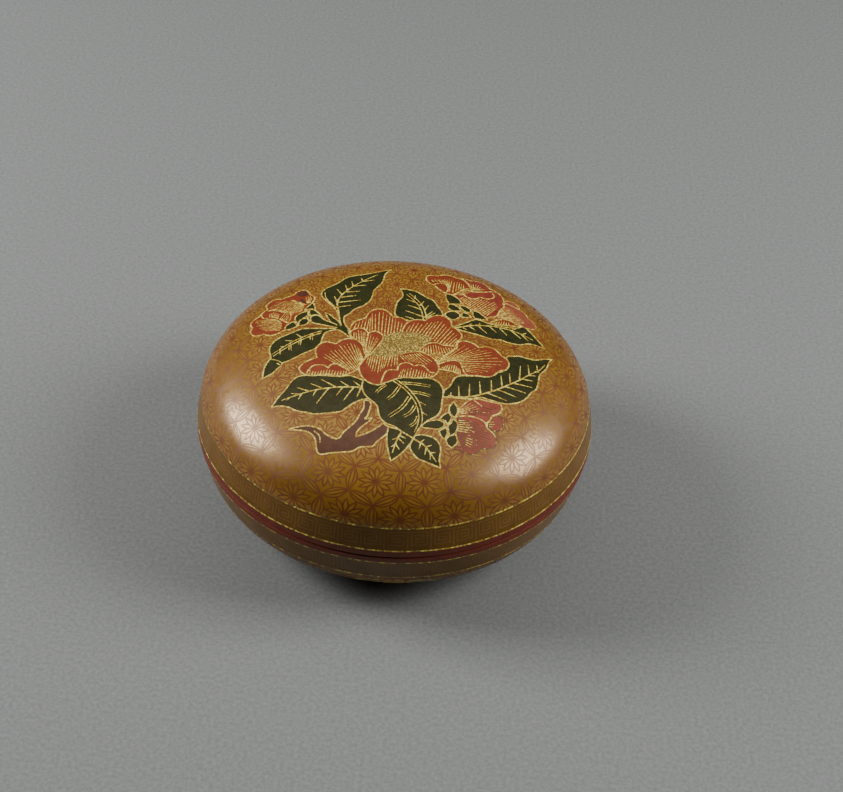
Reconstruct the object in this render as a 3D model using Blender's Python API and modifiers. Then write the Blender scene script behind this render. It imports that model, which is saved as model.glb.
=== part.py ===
"""Round covered box of turned and lacquered wood.

Two separate pieces: a hollow base on a low foot ring, with an upright lip inside its rim,
and a hollow domed lid that rests on the base's rim around the lip and lifts off.
Metres, +Z up, origin at the centre of the foot ring's underside.
"""

import bpy
import math

# Both pieces
OUTSIDE_RADIUS = 0.0525
TURNING_STEPS = 64
CURVE_POINTS = 13
EDGE_CHAMFER = 0.0003
SHARP_ANGLE = math.radians(28)

# Base, outside, from the table up
FOOT_INSET = 0.0225
FOOT_WIDTH = 0.0028
FOOT_HEIGHT = 0.0010
BELLY_HEIGHT = 0.0137
BELLY_OVERRUN = 0.0013
BELLY_FLAT_POWER = 3.83
BELLY_SIDE_POWER = 3.14
BASE_BAND_HEIGHT = 0.0066
BASE_BAND_LEAN = 0.0017
BASE_RIM_HEIGHT = 0.0024
BASE_RIM_LEAN = 0.0004

# Base, inside
BASE_WALL = 0.0033
FLOOR_THICKNESS = 0.0044
LIP_HEIGHT = 0.0034
LIP_WALL = 0.0015

# Lid, outside, from the rim up
LID_RIM_HEIGHT = 0.0020
LID_BAND_HEIGHT = 0.0069
LID_BAND_LEAN = 0.00125
DOME_HEIGHT = 0.0153
DOME_OVERRUN = 0.00115
DOME_FLAT_POWER = 3.58
DOME_SIDE_POWER = 3.01

# Lid, inside
LID_WALL = 0.0030
LID_RIM_WIDTH = 0.0022

# Fit between the two pieces
RIM_GAP = 0.0003
LIP_CLEARANCE = 0.00035

# Heights and radii that follow from the sizes above
base_band_bottom = FOOT_HEIGHT + BELLY_HEIGHT
base_band_top = base_band_bottom + BASE_BAND_HEIGHT
seat_height = base_band_top + BASE_RIM_HEIGHT
lid_rim_bottom = seat_height + RIM_GAP
lid_band_bottom = lid_rim_bottom + LID_RIM_HEIGHT
shoulder_height = lid_band_bottom + LID_BAND_HEIGHT
apex_height = shoulder_height + DOME_HEIGHT

foot_radius = OUTSIDE_RADIUS - FOOT_INSET
base_band_top_radius = OUTSIDE_RADIUS - BASE_RIM_LEAN
belly_radius = base_band_top_radius - BASE_BAND_LEAN
shoulder_radius = OUTSIDE_RADIUS - LID_BAND_LEAN
lid_bore_radius = OUTSIDE_RADIUS - LID_RIM_WIDTH
lip_radius = lid_bore_radius - LIP_CLEARANCE
mouth_radius = lip_radius - LIP_WALL

LACQUER_OCHRE = (0.30, 0.115, 0.022, 1.0)
LACQUER_ROUGHNESS = 0.3


def clear_scene():
    """Remove every object that the file starts with."""
    for thing in list(bpy.data.objects):
        bpy.data.objects.remove(thing, do_unlink=True)


def lacquer(name):
    """A smooth, softly glossy coat of ochre lacquer."""
    material = bpy.data.materials.new(name)
    material.use_nodes = True
    shader = material.node_tree.nodes["Principled BSDF"]
    shader.inputs["Base Color"].default_value = LACQUER_OCHRE
    shader.inputs["Roughness"].default_value = LACQUER_ROUGHNESS
    shader.inputs["Metallic"].default_value = 0.0
    return material


def rise(share, flat_power, side_power):
    """How far a turned dome has left its flat centre, from 0 at the axis to 1 at its full radius."""
    return 1 - (1 - share**flat_power) ** (1 / side_power)


def domed_outline(inner, outer, overrun, centre_height, edge_height, flat_power, side_power):
    """Points of a domed surface from radius inner to radius outer.

    It is level at the axis and, were it to run on past its edge by overrun, would stand upright there.
    """
    full_radius = outer + overrun
    edge_rise = rise(outer / full_radius, flat_power, side_power)
    points = []
    for step in range(CURVE_POINTS + 1):
        radius = inner + (outer - inner) * math.sin(step / CURVE_POINTS * math.pi / 2)
        share = rise(radius / full_radius, flat_power, side_power) / edge_rise
        points.append((radius, centre_height + (edge_height - centre_height) * share))
    return points


def inside_of(outline, wall, upwards):
    """The outline moved in by the wall's thickness, square to the surface at each of its points.

    upwards is 1 where the hollow lies above the outline, as in a bowl, and -1 where it lies below.
    """
    points = []
    last = len(outline) - 1
    for index, (radius, height) in enumerate(outline):
        before = outline[max(index - 1, 0)]
        after = outline[min(index + 1, last)]
        along_radius = after[0] - before[0]
        along_height = after[1] - before[1]
        length = math.hypot(along_radius, along_height)
        moved_radius = radius - upwards * wall * along_height / length
        moved_height = height + upwards * wall * along_radius / length
        points.append((max(moved_radius, 0.0), moved_height))
    return points


def cut_level(points, level, upwards):
    """The points past a level plane, starting with the point where the outline meets that plane."""
    kept = [point for point in points if (point[1] - level) * upwards > EDGE_CHAMFER / 10]
    first = points.index(kept[0])
    if first == 0:
        return [(kept[0][0], level)] + kept
    low = points[first - 1]
    share = (level - low[1]) / (kept[0][1] - low[1])
    return [(low[0] + (kept[0][0] - low[0]) * share, level)] + kept


def turned(name, outline, collection):
    """A solid of revolution about Z. Its outline starts and ends on the axis."""
    profile = bpy.data.meshes.new(name + "_profile")
    points = [(radius, 0.0, height) for radius, height in outline]
    edges = [(index, index + 1) for index in range(len(points) - 1)]
    profile.from_pydata(points, edges, [])
    lathe = bpy.data.objects.new(name + "_lathe", profile)
    collection.objects.link(lathe)
    screw = lathe.modifiers.new("Turning", "SCREW")
    screw.axis = "Z"
    screw.steps = TURNING_STEPS
    screw.render_steps = TURNING_STEPS
    screw.use_merge_vertices = True
    screw.merge_threshold = 0.00001

    graph = bpy.context.evaluated_depsgraph_get()
    mesh = bpy.data.meshes.new_from_object(lathe.evaluated_get(graph))
    mesh.name = name
    mesh.shade_smooth()
    mesh.set_sharp_from_angle(angle=SHARP_ANGLE)
    mesh.materials.append(lacquer(name + "_lacquer"))
    piece = bpy.data.objects.new(name, mesh)
    collection.objects.link(piece)
    bpy.data.objects.remove(lathe, do_unlink=True)
    return piece


def belly_outline():
    """Outside of the base from the foot ring to its rim: rounded belly, leaning band, rim."""
    belly = domed_outline(
        foot_radius,
        belly_radius,
        BELLY_OVERRUN,
        FOOT_HEIGHT,
        base_band_bottom,
        BELLY_FLAT_POWER,
        BELLY_SIDE_POWER,
    )
    return belly + [(base_band_top_radius, base_band_top)]


def base_outline():
    """From the middle of the floor, up the inside, over the lip, and down the outside to the foot."""
    outside = belly_outline()
    floor_height = FOOT_HEIGHT + FLOOR_THICKNESS
    inside = cut_level(inside_of(outside, BASE_WALL, 1), floor_height, 1)
    inside = [(min(radius, mouth_radius), height) for radius, height in inside]
    lip_top = seat_height + LIP_HEIGHT
    lip = [
        (mouth_radius, seat_height),
        (mouth_radius, lip_top - EDGE_CHAMFER),
        (mouth_radius + EDGE_CHAMFER, lip_top),
        (lip_radius - EDGE_CHAMFER, lip_top),
        (lip_radius, lip_top - EDGE_CHAMFER),
    ]
    rim = [
        (lip_radius, seat_height),
        (OUTSIDE_RADIUS - EDGE_CHAMFER, seat_height),
        (OUTSIDE_RADIUS, seat_height - EDGE_CHAMFER),
    ]
    foot = [
        (foot_radius, EDGE_CHAMFER),
        (foot_radius - EDGE_CHAMFER, 0.0),
        (foot_radius - FOOT_WIDTH + EDGE_CHAMFER, 0.0),
        (foot_radius - FOOT_WIDTH, EDGE_CHAMFER),
        (foot_radius - FOOT_WIDTH, FOOT_HEIGHT),
    ]
    outline = [(0.0, floor_height)] + inside + lip + rim
    outline += outside[::-1] + foot + [(0.0, FOOT_HEIGHT)]
    return outline


def lid_outline():
    """From the apex down the outside, across the rim, and up the rebate and the inside to the ceiling."""
    dome = domed_outline(
        0.0,
        shoulder_radius,
        DOME_OVERRUN,
        apex_height,
        shoulder_height,
        DOME_FLAT_POWER,
        DOME_SIDE_POWER,
    )
    outside = dome + [(OUTSIDE_RADIUS, lid_band_bottom)]
    rebate_height = seat_height + LIP_HEIGHT + LIP_CLEARANCE
    ceiling = inside_of(outside, LID_WALL, -1)
    inside = cut_level(ceiling[::-1], rebate_height, 1)
    rim = [
        (OUTSIDE_RADIUS, lid_rim_bottom + EDGE_CHAMFER),
        (OUTSIDE_RADIUS - EDGE_CHAMFER, lid_rim_bottom),
        (lid_bore_radius + EDGE_CHAMFER, lid_rim_bottom),
        (lid_bore_radius, lid_rim_bottom + EDGE_CHAMFER),
        (lid_bore_radius, rebate_height),
    ]
    return outside + rim + inside


clear_scene()
box_collection = bpy.data.collections.new("covered_box")
bpy.context.scene.collection.children.link(box_collection)
turned("base", base_outline(), box_collection)
turned("lid", lid_outline(), box_collection)
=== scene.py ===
import math
import random

import bmesh
import bpy
import numpy as np
from mathutils import Matrix, Vector, geometry


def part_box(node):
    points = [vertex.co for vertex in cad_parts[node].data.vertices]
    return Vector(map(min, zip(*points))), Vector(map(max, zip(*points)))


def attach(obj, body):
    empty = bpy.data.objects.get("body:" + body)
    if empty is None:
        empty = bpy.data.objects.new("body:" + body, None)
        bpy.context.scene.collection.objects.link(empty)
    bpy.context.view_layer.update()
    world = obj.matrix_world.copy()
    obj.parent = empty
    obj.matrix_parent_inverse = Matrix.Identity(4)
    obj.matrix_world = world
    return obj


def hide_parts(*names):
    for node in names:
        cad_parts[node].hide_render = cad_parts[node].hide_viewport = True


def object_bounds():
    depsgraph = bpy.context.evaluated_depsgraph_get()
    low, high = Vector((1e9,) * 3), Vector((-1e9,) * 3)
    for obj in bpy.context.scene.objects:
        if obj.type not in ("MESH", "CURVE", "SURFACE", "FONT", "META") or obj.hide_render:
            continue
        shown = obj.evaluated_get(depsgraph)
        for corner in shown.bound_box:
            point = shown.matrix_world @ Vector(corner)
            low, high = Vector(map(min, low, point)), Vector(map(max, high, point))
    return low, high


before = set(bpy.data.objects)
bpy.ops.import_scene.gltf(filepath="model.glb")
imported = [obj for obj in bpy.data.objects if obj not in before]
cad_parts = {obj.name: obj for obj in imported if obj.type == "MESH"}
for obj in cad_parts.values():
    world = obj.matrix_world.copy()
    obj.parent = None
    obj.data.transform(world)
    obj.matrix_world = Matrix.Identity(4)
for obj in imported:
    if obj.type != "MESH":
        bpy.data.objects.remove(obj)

cad_low, cad_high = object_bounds()

# Base, turned in wood.
# The lower half of the box is turned from one piece of wood, hollowed to a thin wall, with an upright
# lip that the lid goes over. It is primed and coated with plain red lacquer inside and on the rim.
# The outside is cut back by the depth of the coloured lacquers that are laid on it afterwards.
MM = 0.001
STEPS = 256
SHARP_ANGLE = math.radians(25)
COAT = 0.30
BED = COAT + 0.02
EDGE = 0.3
SEAM_EDGE = 0.08
LIP_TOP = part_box("base")[1].z / MM
lid_low, lid_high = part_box("lid")
BOX_RADIUS = (cad_high.x - cad_low.x) / 2 / MM
LID_RIM_BOTTOM = lid_low.z / MM
APEX = lid_high.z / MM
FOOT_RADIUS = 30.0
FOOT_HEIGHT = 1.0
FLOOR = 5.4
BASE_WALL = 3.3
MOUTH_RADIUS = 48.45
LIP_RADIUS = 49.95
RIM_GAP = 0.3
SEAT = LID_RIM_BOTTOM - RIM_GAP
BASE_BAND_TOP = (52.25, SEAT - 1.8)
BASE_BAND_BOTTOM = (50.4, SEAT - 9.0)
CHART_MARGIN = 1.02


def colour(red, green, blue):
    """A screen colour, given from 0 to 255, in the linear values that a shader takes."""
    shares = [channel / 255 for channel in (red, green, blue)]
    return [s / 12.92 if s <= 0.04045 else ((s + 0.055) / 1.055) ** 2.4 for s in shares] + [1.0]


def rise(share, flat, side):
    """How far a turned dome has left its flat centre, from 0 at the axis to 1 at its full radius."""
    return 1 - (1 - share**flat) ** (1 / side)


class Domed:
    """A turned surface that is level at the axis and steep at its edge, in millimetres.

    Were it to run on past its edge by overrun, it would stand upright there. Its flat chart is drawn
    with every point at its true distance from the axis, in a square of twice the spread.
    """

    def __init__(self, outer, overrun, centre, edge, flat, side):
        self.radius = outer * np.sin(np.linspace(0, math.pi / 2, 600))
        full = outer + overrun
        share = rise(self.radius / full, flat, side) / rise(outer / full, flat, side)
        self.height = centre + (edge - centre) * share
        steps = np.hypot(np.diff(self.radius), np.diff(self.height))
        self.arc = np.concatenate([[0.0], np.cumsum(steps)])
        self.slope = np.gradient(self.height, self.radius)
        self.outward = 1 if centre > edge else -1
        self.spread = CHART_MARGIN * self.arc[-1]

    def at(self, arc, depth=0.0):
        """Radius and height of points this far along the curve from the axis, and this deep in it."""
        radius = np.interp(arc, self.arc, self.radius)
        height = np.interp(arc, self.arc, self.height)
        slope = np.interp(arc, self.arc, self.slope)
        length = np.hypot(slope, 1)
        return radius + self.outward * depth * slope / length, height - self.outward * depth / length

    def lifted(self, flat, depth=0.0):
        """Points of the chart, in millimetres from its middle, laid on or in the surface, in metres."""
        arc = np.hypot(flat[:, 0], flat[:, 1])
        turn = np.arctan2(flat[:, 1], flat[:, 0])
        radius, height = self.at(arc, depth)
        return np.stack([radius * np.cos(turn), radius * np.sin(turn), height], 1) * MM

    def flattened(self, points):
        """The place on the chart of points on the surface."""
        radius = np.hypot(points[:, 0], points[:, 1]) / MM
        arc = np.interp(radius, self.radius, self.arc)
        turn = np.arctan2(points[:, 1], points[:, 0])
        return np.stack([arc * np.cos(turn), arc * np.sin(turn)], 1)

    def facing(self, points):
        """The direction that the surface faces under those points."""
        radius = np.hypot(points[:, 0], points[:, 1])
        slope = np.interp(radius / MM, self.radius, self.slope)
        across = np.maximum(radius, 1e-9)[:, None]
        way = np.concatenate([-slope[:, None] * points[:, :2] / across, np.ones((len(points), 1))], 1)
        return self.outward * way / np.linalg.norm(way, axis=1)[:, None]


belly = Domed(
    BASE_BAND_BOTTOM[0], overrun=1.3, centre=FOOT_HEIGHT, edge=BASE_BAND_BOTTOM[1], flat=3.83, side=3.14
)


def meshed(work, name):
    """The mesh of a finished bmesh."""
    mesh = bpy.data.meshes.new(name)
    work.to_mesh(mesh)
    work.free()
    return mesh


def turned(name, outline, closed=False):
    """A solid of revolution about Z. An open outline starts and ends on the axis."""
    work = bmesh.new()
    spots = [work.verts.new((radius * MM, 0, height * MM)) for radius, height in outline]
    pairs = list(zip(spots, spots[1:])) + [(spots[-1], spots[0])] * closed
    edges = [work.edges.new(pair) for pair in pairs]
    bmesh.ops.spin(
        work, geom=spots + edges, cent=(0, 0, 0), axis=(0, 0, 1), dvec=(0, 0, 0),
        angle=2 * math.pi, steps=STEPS, use_merge=True, use_duplicate=False,
    )
    bmesh.ops.remove_doubles(work, verts=work.verts[:], dist=0.001 * MM)
    bmesh.ops.recalc_face_normals(work, faces=work.faces[:])
    mesh = meshed(work, name)
    mesh.shade_smooth()
    mesh.set_sharp_from_angle(angle=SHARP_ANGLE)
    return piece_of(name, mesh)


def piece_of(name, mesh):
    """The object that shows a mesh."""
    piece = bpy.data.objects.new(name, mesh)
    bpy.context.scene.collection.objects.link(piece)
    return piece


def fitted(piece, material):
    """Gives a finished piece its material and its place on the box."""
    piece.data.materials.append(material)
    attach(piece, "root")


class Reading:
    """A value that a shader works out for each point. A sum with it adds the nodes that it takes."""

    def __init__(self, socket):
        self.socket = socket
        self.tree = socket.id_data

    def __add__(self, other):
        return reckon("ADD", self, other)

    def __sub__(self, other):
        return reckon("SUBTRACT", self, other)

    def __rsub__(self, other):
        return reckon("SUBTRACT", other, self)

    def __mul__(self, other):
        return reckon("MULTIPLY", self, other)

    def __truediv__(self, other):
        return reckon("DIVIDE", self, other)

    def __abs__(self):
        return reckon("ABSOLUTE", self)


def node(tree, kind, **settings):
    """A shader node with its settings."""
    made = tree.nodes.new("ShaderNode" + kind)
    for name, value in settings.items():
        setattr(made, name, value)
    return made


def feed(entry, value):
    """Links a reading to one input of a node, or sets the input to a plain value."""
    if isinstance(value, Reading):
        value.tree.links.new(value.socket, entry)
    else:
        entry.default_value = value


def reckon(operation, *values):
    """A sum in the shader, of numbers and at least one reading."""
    tree = next(value.tree for value in values if isinstance(value, Reading))
    made = node(tree, "Math", operation=operation)
    for entry, value in zip(made.inputs, values):
        feed(entry, value)
    return Reading(made.outputs[0])


def blended(share, first, second, kind="MIX"):
    """The first colour where the share is 0, and the second one mixed into it where it is 1."""
    made = node(share.tree, "Mix", data_type="RGBA", blend_type=kind)
    for name, value in zip(("Factor", "A", "B"), (share, first, second)):
        feed(made.inputs[name], value)
    return Reading(made.outputs["Result"])


def ranged(value, low, high, first=0.0, second=1.0, kind="LINEAR"):
    """A value between low and high, moved to between first and second."""
    made = node(value.tree, "MapRange", interpolation_type=kind)
    names = ("Value", "From Min", "From Max", "To Min", "To Max")
    for name, number in zip(names, (value, low, high, first, second)):
        feed(made.inputs[name], number)
    return Reading(made.outputs["Result"])


def clouds(place, size, detail=2.0, roughness=0.5, output="Fac"):
    """Soft noise with patches of about this size, in millimetres."""
    made = node(place.tree, "TexNoise")
    names = ("Vector", "Scale", "Detail", "Roughness")
    for name, value in zip(names, (place, 1 / (size * MM), detail, roughness)):
        feed(made.inputs[name], value)
    return Reading(made.outputs[output])


def lacquer(name, gloss=0.28, shine=1.92):
    """A polished lacquer: its material, its shader and the place on the object.

    shine is its index of refraction. The clear upper coats are amber, which warms what they reflect.
    """
    material = bpy.data.materials.new(name)
    material.use_nodes = True
    shader = material.node_tree.nodes["Principled BSDF"]
    shader.inputs["IOR"].default_value = shine
    shader.inputs["Specular Tint"].default_value = (1.0, 0.72, 0.47, 1.0)
    place = Reading(node(material.node_tree, "TexCoord").outputs["Object"])
    uneven = clouds(place, 5.0, 3.0)
    feed(shader.inputs["Roughness"], ranged(uneven, 0.3, 0.7, gloss - 0.03, gloss + 0.04))
    return material, shader, place


def surfaced(shader, height, depth):
    """Relief from a height between 0 and 1, as deep as this in millimetres."""
    bump = node(height.tree, "Bump")
    bump.inputs["Strength"].default_value = 1.0
    bump.inputs["Distance"].default_value = depth * MM
    feed(bump.inputs["Height"], height)
    feed(shader.inputs["Normal"], Reading(bump.outputs["Normal"]))


def plain_lacquer(name, light, dark, gloss=0.3, shine=1.6):
    """Lacquer of one colour with the faint clouds and fine dust specks of hand work."""
    material, shader, place = lacquer(name, gloss, shine)
    body = blended(ranged(clouds(place, 3.0, 4.0, 0.6), 0.3, 0.7), colour(*light), colour(*dark))
    dust = ranged(clouds(place, 0.25, 2.0), 0.62, 0.75, 0.0, 0.35)
    feed(shader.inputs["Base Color"], blended(dust, body, colour(*[channel * 0.6 for channel in dark])))
    surfaced(shader, clouds(place, 4.0, 3.0), 0.02)
    return material


red_lacquer = plain_lacquer("red_lacquer", (120, 47, 35), (98, 37, 27), gloss=0.4, shine=1.5)
band_arc = belly.arc[-1]
foot_arc = float(np.interp(FOOT_RADIUS, belly.radius, belly.arc))
BELLY_POINTS = 24
FLOOR_CORNER_WIDTH = 0.8
FLOOR_CORNER_HEIGHT = 0.1


def inside_base():
    """From the middle of the floor up the inner wall, a wall's thickness in from the belly."""
    arcs = np.linspace(foot_arc, band_arc, BELLY_POINTS)
    radii, heights = belly.at(arcs, BASE_WALL)
    foot = FLOOR + FLOOR_CORNER_HEIGHT
    wall = [(r, h) for r, h in zip(radii, heights) if h > foot and r < MOUTH_RADIUS]
    floor_end = wall[0][0] - FLOOR_CORNER_WIDTH
    return [(0, FLOOR), (floor_end, FLOOR)] + wall + [(MOUTH_RADIUS, BASE_BAND_TOP[1])]


def bedded_belly():
    """The bed that the belly's lacquers are laid on, from the band down to the foot."""
    arcs = np.linspace(band_arc, foot_arc, BELLY_POINTS)
    return list(zip(*belly.at(arcs, BED)))


base_body = turned("base_body", inside_base() + [
    (MOUTH_RADIUS, LIP_TOP - EDGE), (MOUTH_RADIUS + EDGE, LIP_TOP),
    (LIP_RADIUS - EDGE, LIP_TOP), (LIP_RADIUS, LIP_TOP - EDGE), (LIP_RADIUS, SEAT + SEAM_EDGE),
    (BOX_RADIUS - EDGE, SEAT + SEAM_EDGE), (BOX_RADIUS - SEAM_EDGE, SEAT),
    (BOX_RADIUS, SEAT + SEAM_EDGE - EDGE),
    BASE_BAND_TOP, (BASE_BAND_TOP[0] - BED, BASE_BAND_TOP[1]),
] + bedded_belly() + [(0, FOOT_HEIGHT + BED)])
fitted(base_body, red_lacquer)
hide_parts("base")

# Foot and underside.
# A low ring is turned with the base, and with the underside it is coated with dark brown lacquer.
# It stays plain, because it stands on the table.
brown_lacquer = plain_lacquer("brown_lacquer", (66, 30, 26), (48, 20, 18))
FOOT_INNER = 27.2
base_foot = turned("base_foot", [
    (0, FOOT_HEIGHT), (FOOT_INNER, FOOT_HEIGHT), (FOOT_INNER, EDGE), (FOOT_INNER + EDGE, 0),
    (FOOT_RADIUS - EDGE, 0), (FOOT_RADIUS, EDGE), (FOOT_RADIUS, float(belly.at(foot_arc)[1])),
    (0, FOOT_HEIGHT + COAT),
])
fitted(base_foot, brown_lacquer)

# Flower diaper in ochre lacquer.
# The ground of the belly and of the lid is ochre lacquer, in which rings of twelve-petalled flowers in
# hexagons are drawn with fine incised lines filled with red-brown. The flowers stand in staggered
# rings round the box's axis, 23 to a ring, and the last coat is polished flat.
FLOWERS = 23
RING_STEP = 9.11
PETAL_LENGTH = 0.365
PETAL_WIDTH = 0.050
ARC_OUTER = 0.105
ARC_INNER = 0.042
LINE_WIDTH = 0.40


def split(reading):
    """The three parts of a place or of a colour."""
    made = node(reading.tree, "SeparateXYZ")
    feed(made.inputs[0], reading)
    return [Reading(part) for part in made.outputs]


def diaper_lines(flat, wander, first_ring):
    """Where the lines of the diaper run and where its petals and arcs lie, each as a share from 0 to 1.

    Worked out in a lattice where neighbouring flowers are 1 apart, and which wanders a little, as hand
    work does. first_ring is how far from the middle of the chart the outermost flowers stand.
    """
    row_height = math.sqrt(3) / 2
    x, y = split(flat)[:2]
    arc = reckon("SQRT", x * x + y * y)
    shift, lift = [part * 0.07 - 0.035 for part in split(wander)[:2]]
    turn = reckon("ARCTAN2", y, x) * (FLOWERS / (2 * math.pi)) + shift
    row = (first_ring - arc) * (row_height / RING_STEP) + lift

    def nearest(across, up):
        """The way to the nearest flower of one of the two sets of rings, and its square."""
        along, away = turn - across, row - up
        along = along - reckon("ROUND", along)
        away = away - reckon("ROUND", away / (2 * row_height)) * (2 * row_height)
        return along, away, along * along + away * away

    one, other = nearest(0.5, 0.0), nearest(0.0, row_height)
    pick = reckon("LESS_THAN", one[2], other[2])
    along, away, apart = [pick * (a - b) + b for a, b in zip(one, other)]
    reach = reckon("SQRT", apart)
    angle = reckon("ARCTAN2", away, along)

    to_petal = reckon("PINGPONG", angle, math.pi / 12)
    out = reach * reckon("COSINE", to_petal)
    share = out / PETAL_LENGTH
    half = reckon("MINIMUM", share * (1 - share) * (4 * PETAL_WIDTH), out * math.tan(math.pi / 12))
    inside_petal = half - reach * reckon("SINE", to_petal)

    to_side = reckon("PINGPONG", angle, math.pi / 6)
    gap = 0.5 - reach * reckon("COSINE", to_side)
    run = reach * reckon("SINE", to_side) * (2 * math.sqrt(3))
    bow = 1 - run * run
    inside_arc, inner_arc = bow * ARC_OUTER - gap, bow * ARC_INNER - gap
    near = reckon("MINIMUM", abs(inside_petal), reckon("MINIMUM", abs(inside_arc), abs(inner_arc)))

    across = reckon("MINIMUM", arc, BOX_RADIUS) * (2 * math.pi / FLOWERS)
    distance = near * reckon("SQRT", across * (RING_STEP / row_height))
    line = ranged(distance, LINE_WIDTH / 2 + 0.08, LINE_WIDTH / 2 - 0.08, kind="SMOOTHSTEP")
    light = ranged(reckon("MAXIMUM", inside_petal, inside_arc), -0.005, 0.005)
    return line, light


def ochre_lacquer(name, surface, first_ring, shine):
    """Ochre lacquer with the flower diaper, drawn on the surface's chart, which its UV map holds.

    It carries painted shade that darkens it towards the edge, and its lines are a little duller.
    """
    material, shader, place = lacquer(name, gloss=0.26, shine=shine)
    spread = surface.spread
    scaling = node(place.tree, "Mapping", vector_type="POINT")
    scaling.inputs["Location"].default_value = (-spread, -spread, 0)
    scaling.inputs["Scale"].default_value = (2 * spread, 2 * spread, 1)
    feed(scaling.inputs["Vector"], Reading(node(place.tree, "UVMap", uv_map="OFBake").outputs["UV"]))
    flat = Reading(scaling.outputs["Vector"])
    line, light = diaper_lines(flat, clouds(place, 6.0, 1.5, 0.5, "Color"), first_ring)
    cloud = ranged(clouds(place, 9.0, 4.0, 0.6), 0.3, 0.7)
    field = blended(cloud, colour(160, 124, 50), colour(143, 108, 40))
    petals = blended(cloud, colour(168, 132, 56), colour(151, 116, 46))
    ink = blended(cloud, colour(112, 40, 19), colour(98, 32, 13))
    worn = ranged(clouds(place, 2.5, 3.0), 0.3, 0.7, 0.65, 0.95)
    drawn = blended(line * worn, blended(light, field, petals), ink)
    # Painted shade: the colour is darkened and reddened towards the edge of the chart, all round.
    length = node(flat.tree, "VectorMath", operation="LENGTH")
    feed(length.inputs[0], flat)
    painted_edge_shade = ranged(Reading(length.outputs["Value"]), 0.54 * spread, 0.96 * spread, kind="SMOOTHSTEP")
    feed(shader.inputs["Base Color"], blended(painted_edge_shade, drawn, (0.70, 0.60, 0.48, 1.0), "MULTIPLY"))
    even = Reading(shader.inputs["Roughness"].links[0].from_socket)
    feed(shader.inputs["Roughness"], line * 0.17 + even)
    surfaced(shader, clouds(place, 6.0, 2.0), 0.03)
    return material


def points_of(mesh):
    """Where the points of a mesh lie, in metres."""
    places = np.empty(len(mesh.vertices) * 3, np.float32)
    mesh.vertices.foreach_get("co", places)
    return places.reshape(-1, 3).astype(float)


def charted(mesh, surface):
    """The surface's chart as the mesh's UV map, with its middle at the middle of the map."""
    flat = surface.flattened(points_of(mesh)) / (2 * surface.spread) + 0.5
    corners = np.empty(len(mesh.loops), np.int32)
    mesh.loops.foreach_get("vertex_index", corners)
    layer = mesh.uv_layers.new(name="OFBake")
    layer.uv.foreach_set("vector", flat[corners].astype(np.float32).ravel())


def polished(mesh, surface):
    """Lets the outer side shine as one smooth surface, whatever triangles it is made of.

    A triangle belongs to that side if it faces nearly as the surface does. The sides that a coat has
    towards its neighbours, and its underside, stay flat.
    """
    nearly = 0.8
    facing = surface.facing(points_of(mesh))
    normals = [None] * len(mesh.loops)
    for face in mesh.polygons:
        for corner in face.loop_indices:
            smooth = facing[mesh.loops[corner].vertex_index]
            outer = face.normal.dot(smooth) > nearly
            normals[corner] = smooth if outer else face.normal
    mesh.normals_split_custom_set(normals)


# Inlaid sprays on the belly.
# Three small sprays, each a flower between two leaves, are cut into the belly's ochre lacquer, filled
# with red and green-black lacquer, polished flush, and outlined with gold powder in incised lines.
OUTLINE_WIDTH = 0.37
COLOURS = ["ground", "petals", "leaves", "branch", "stamens", "gold", "rubbed", "bud", "faint", "fading_and_sheen"]
TRACE_STEP = 0.6
HAIR_STEP = 1.2
HAIR_SHARE = 0.76
GRID_STEP = 1.35
FINEST_STEP = 0.45
GRID_BEND = 0.05
LAST_RING = 0.5
GRID_CLEAR = 0.4
hand = random.Random(7)


def traced(points, step=TRACE_STEP):
    """A smooth line through the points, in steps of about this many millimetres."""
    knots = np.array([points[0], *points, points[-1]], float)
    line = []
    for a, b, c, d in zip(knots, knots[1:], knots[2:], knots[3:]):
        count = max(1, round(float(np.linalg.norm(c - b)) / step))
        t = np.arange(count)[:, None] / count
        bend = (c - a) * t + (2 * a - 5 * b + 4 * c - d) * t**2 + (3 * b - a - 3 * c + d) * t**3
        line.append(b + bend / 2)
    return np.concatenate(line + [knots[-1:]])


def contour(*strokes):
    """A closed line of strokes that meet in corners; each starts where the one before it ends."""
    parts = []
    for before, side in zip((strokes[-1],) + strokes, strokes):
        parts.append(traced([before[-1], *side])[:-1])
    return np.concatenate(parts)


def beside(line, offset, closed=False):
    """The line moved to its left by an offset at each of its points."""
    if closed:
        ahead = np.roll(line, -1, 0) - np.roll(line, 1, 0)
    else:
        ahead = np.gradient(line, axis=0)
    ahead /= np.maximum(np.linalg.norm(ahead, axis=1), 1e-6)[:, None]
    return line + np.stack([-ahead[:, 1], ahead[:, 0]], 1) * np.asarray(offset)[..., None]


def stroke(points, width, tip=0.35, step=TRACE_STEP):
    """A line of gold that is drawn from its full width to a share of it at the tip."""
    line = traced(points, step)
    return line, np.linspace(1, tip, len(line)) * width / 2


def part_way(line, share):
    """The point that lies at this share of a line's length."""
    run = np.concatenate([[0.0], np.cumsum(np.linalg.norm(np.diff(line, axis=0), axis=1))])
    return np.array([np.interp(share * run[-1], run, line[:, axis]) for axis in (0, 1)])


def hairs(roots, tips, count, width=0.4):
    """Fine gold hairs side by side, from a line of roots to a line of tips.

    Each ends a little before or past its tip, as lines drawn by hand do.
    """
    roots, tips, made = traced(roots), traced(tips), []
    for number in range(count):
        share = (number + 0.5) / count
        root, tip = part_way(roots, share), part_way(tips, share)
        tip = root + (tip - root) * hand.uniform(0.86, 1.04)
        made.append(stroke([root, (root + tip) / 2, tip], HAIR_SHARE * width, 0.4, HAIR_STEP))
    return made


def shape(kind, *strokes, lines=(), edged=True, ink="gold"):
    """One field of colour in a picture, with the gold lines that are drawn on it.

    The kind "lines" has no colour of its own: its lines are drawn on whatever lies within its outline.
    """
    return {"kind": kind, "outline": contour(*strokes), "lines": list(lines), "edged": edged, "ink": ink}


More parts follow.
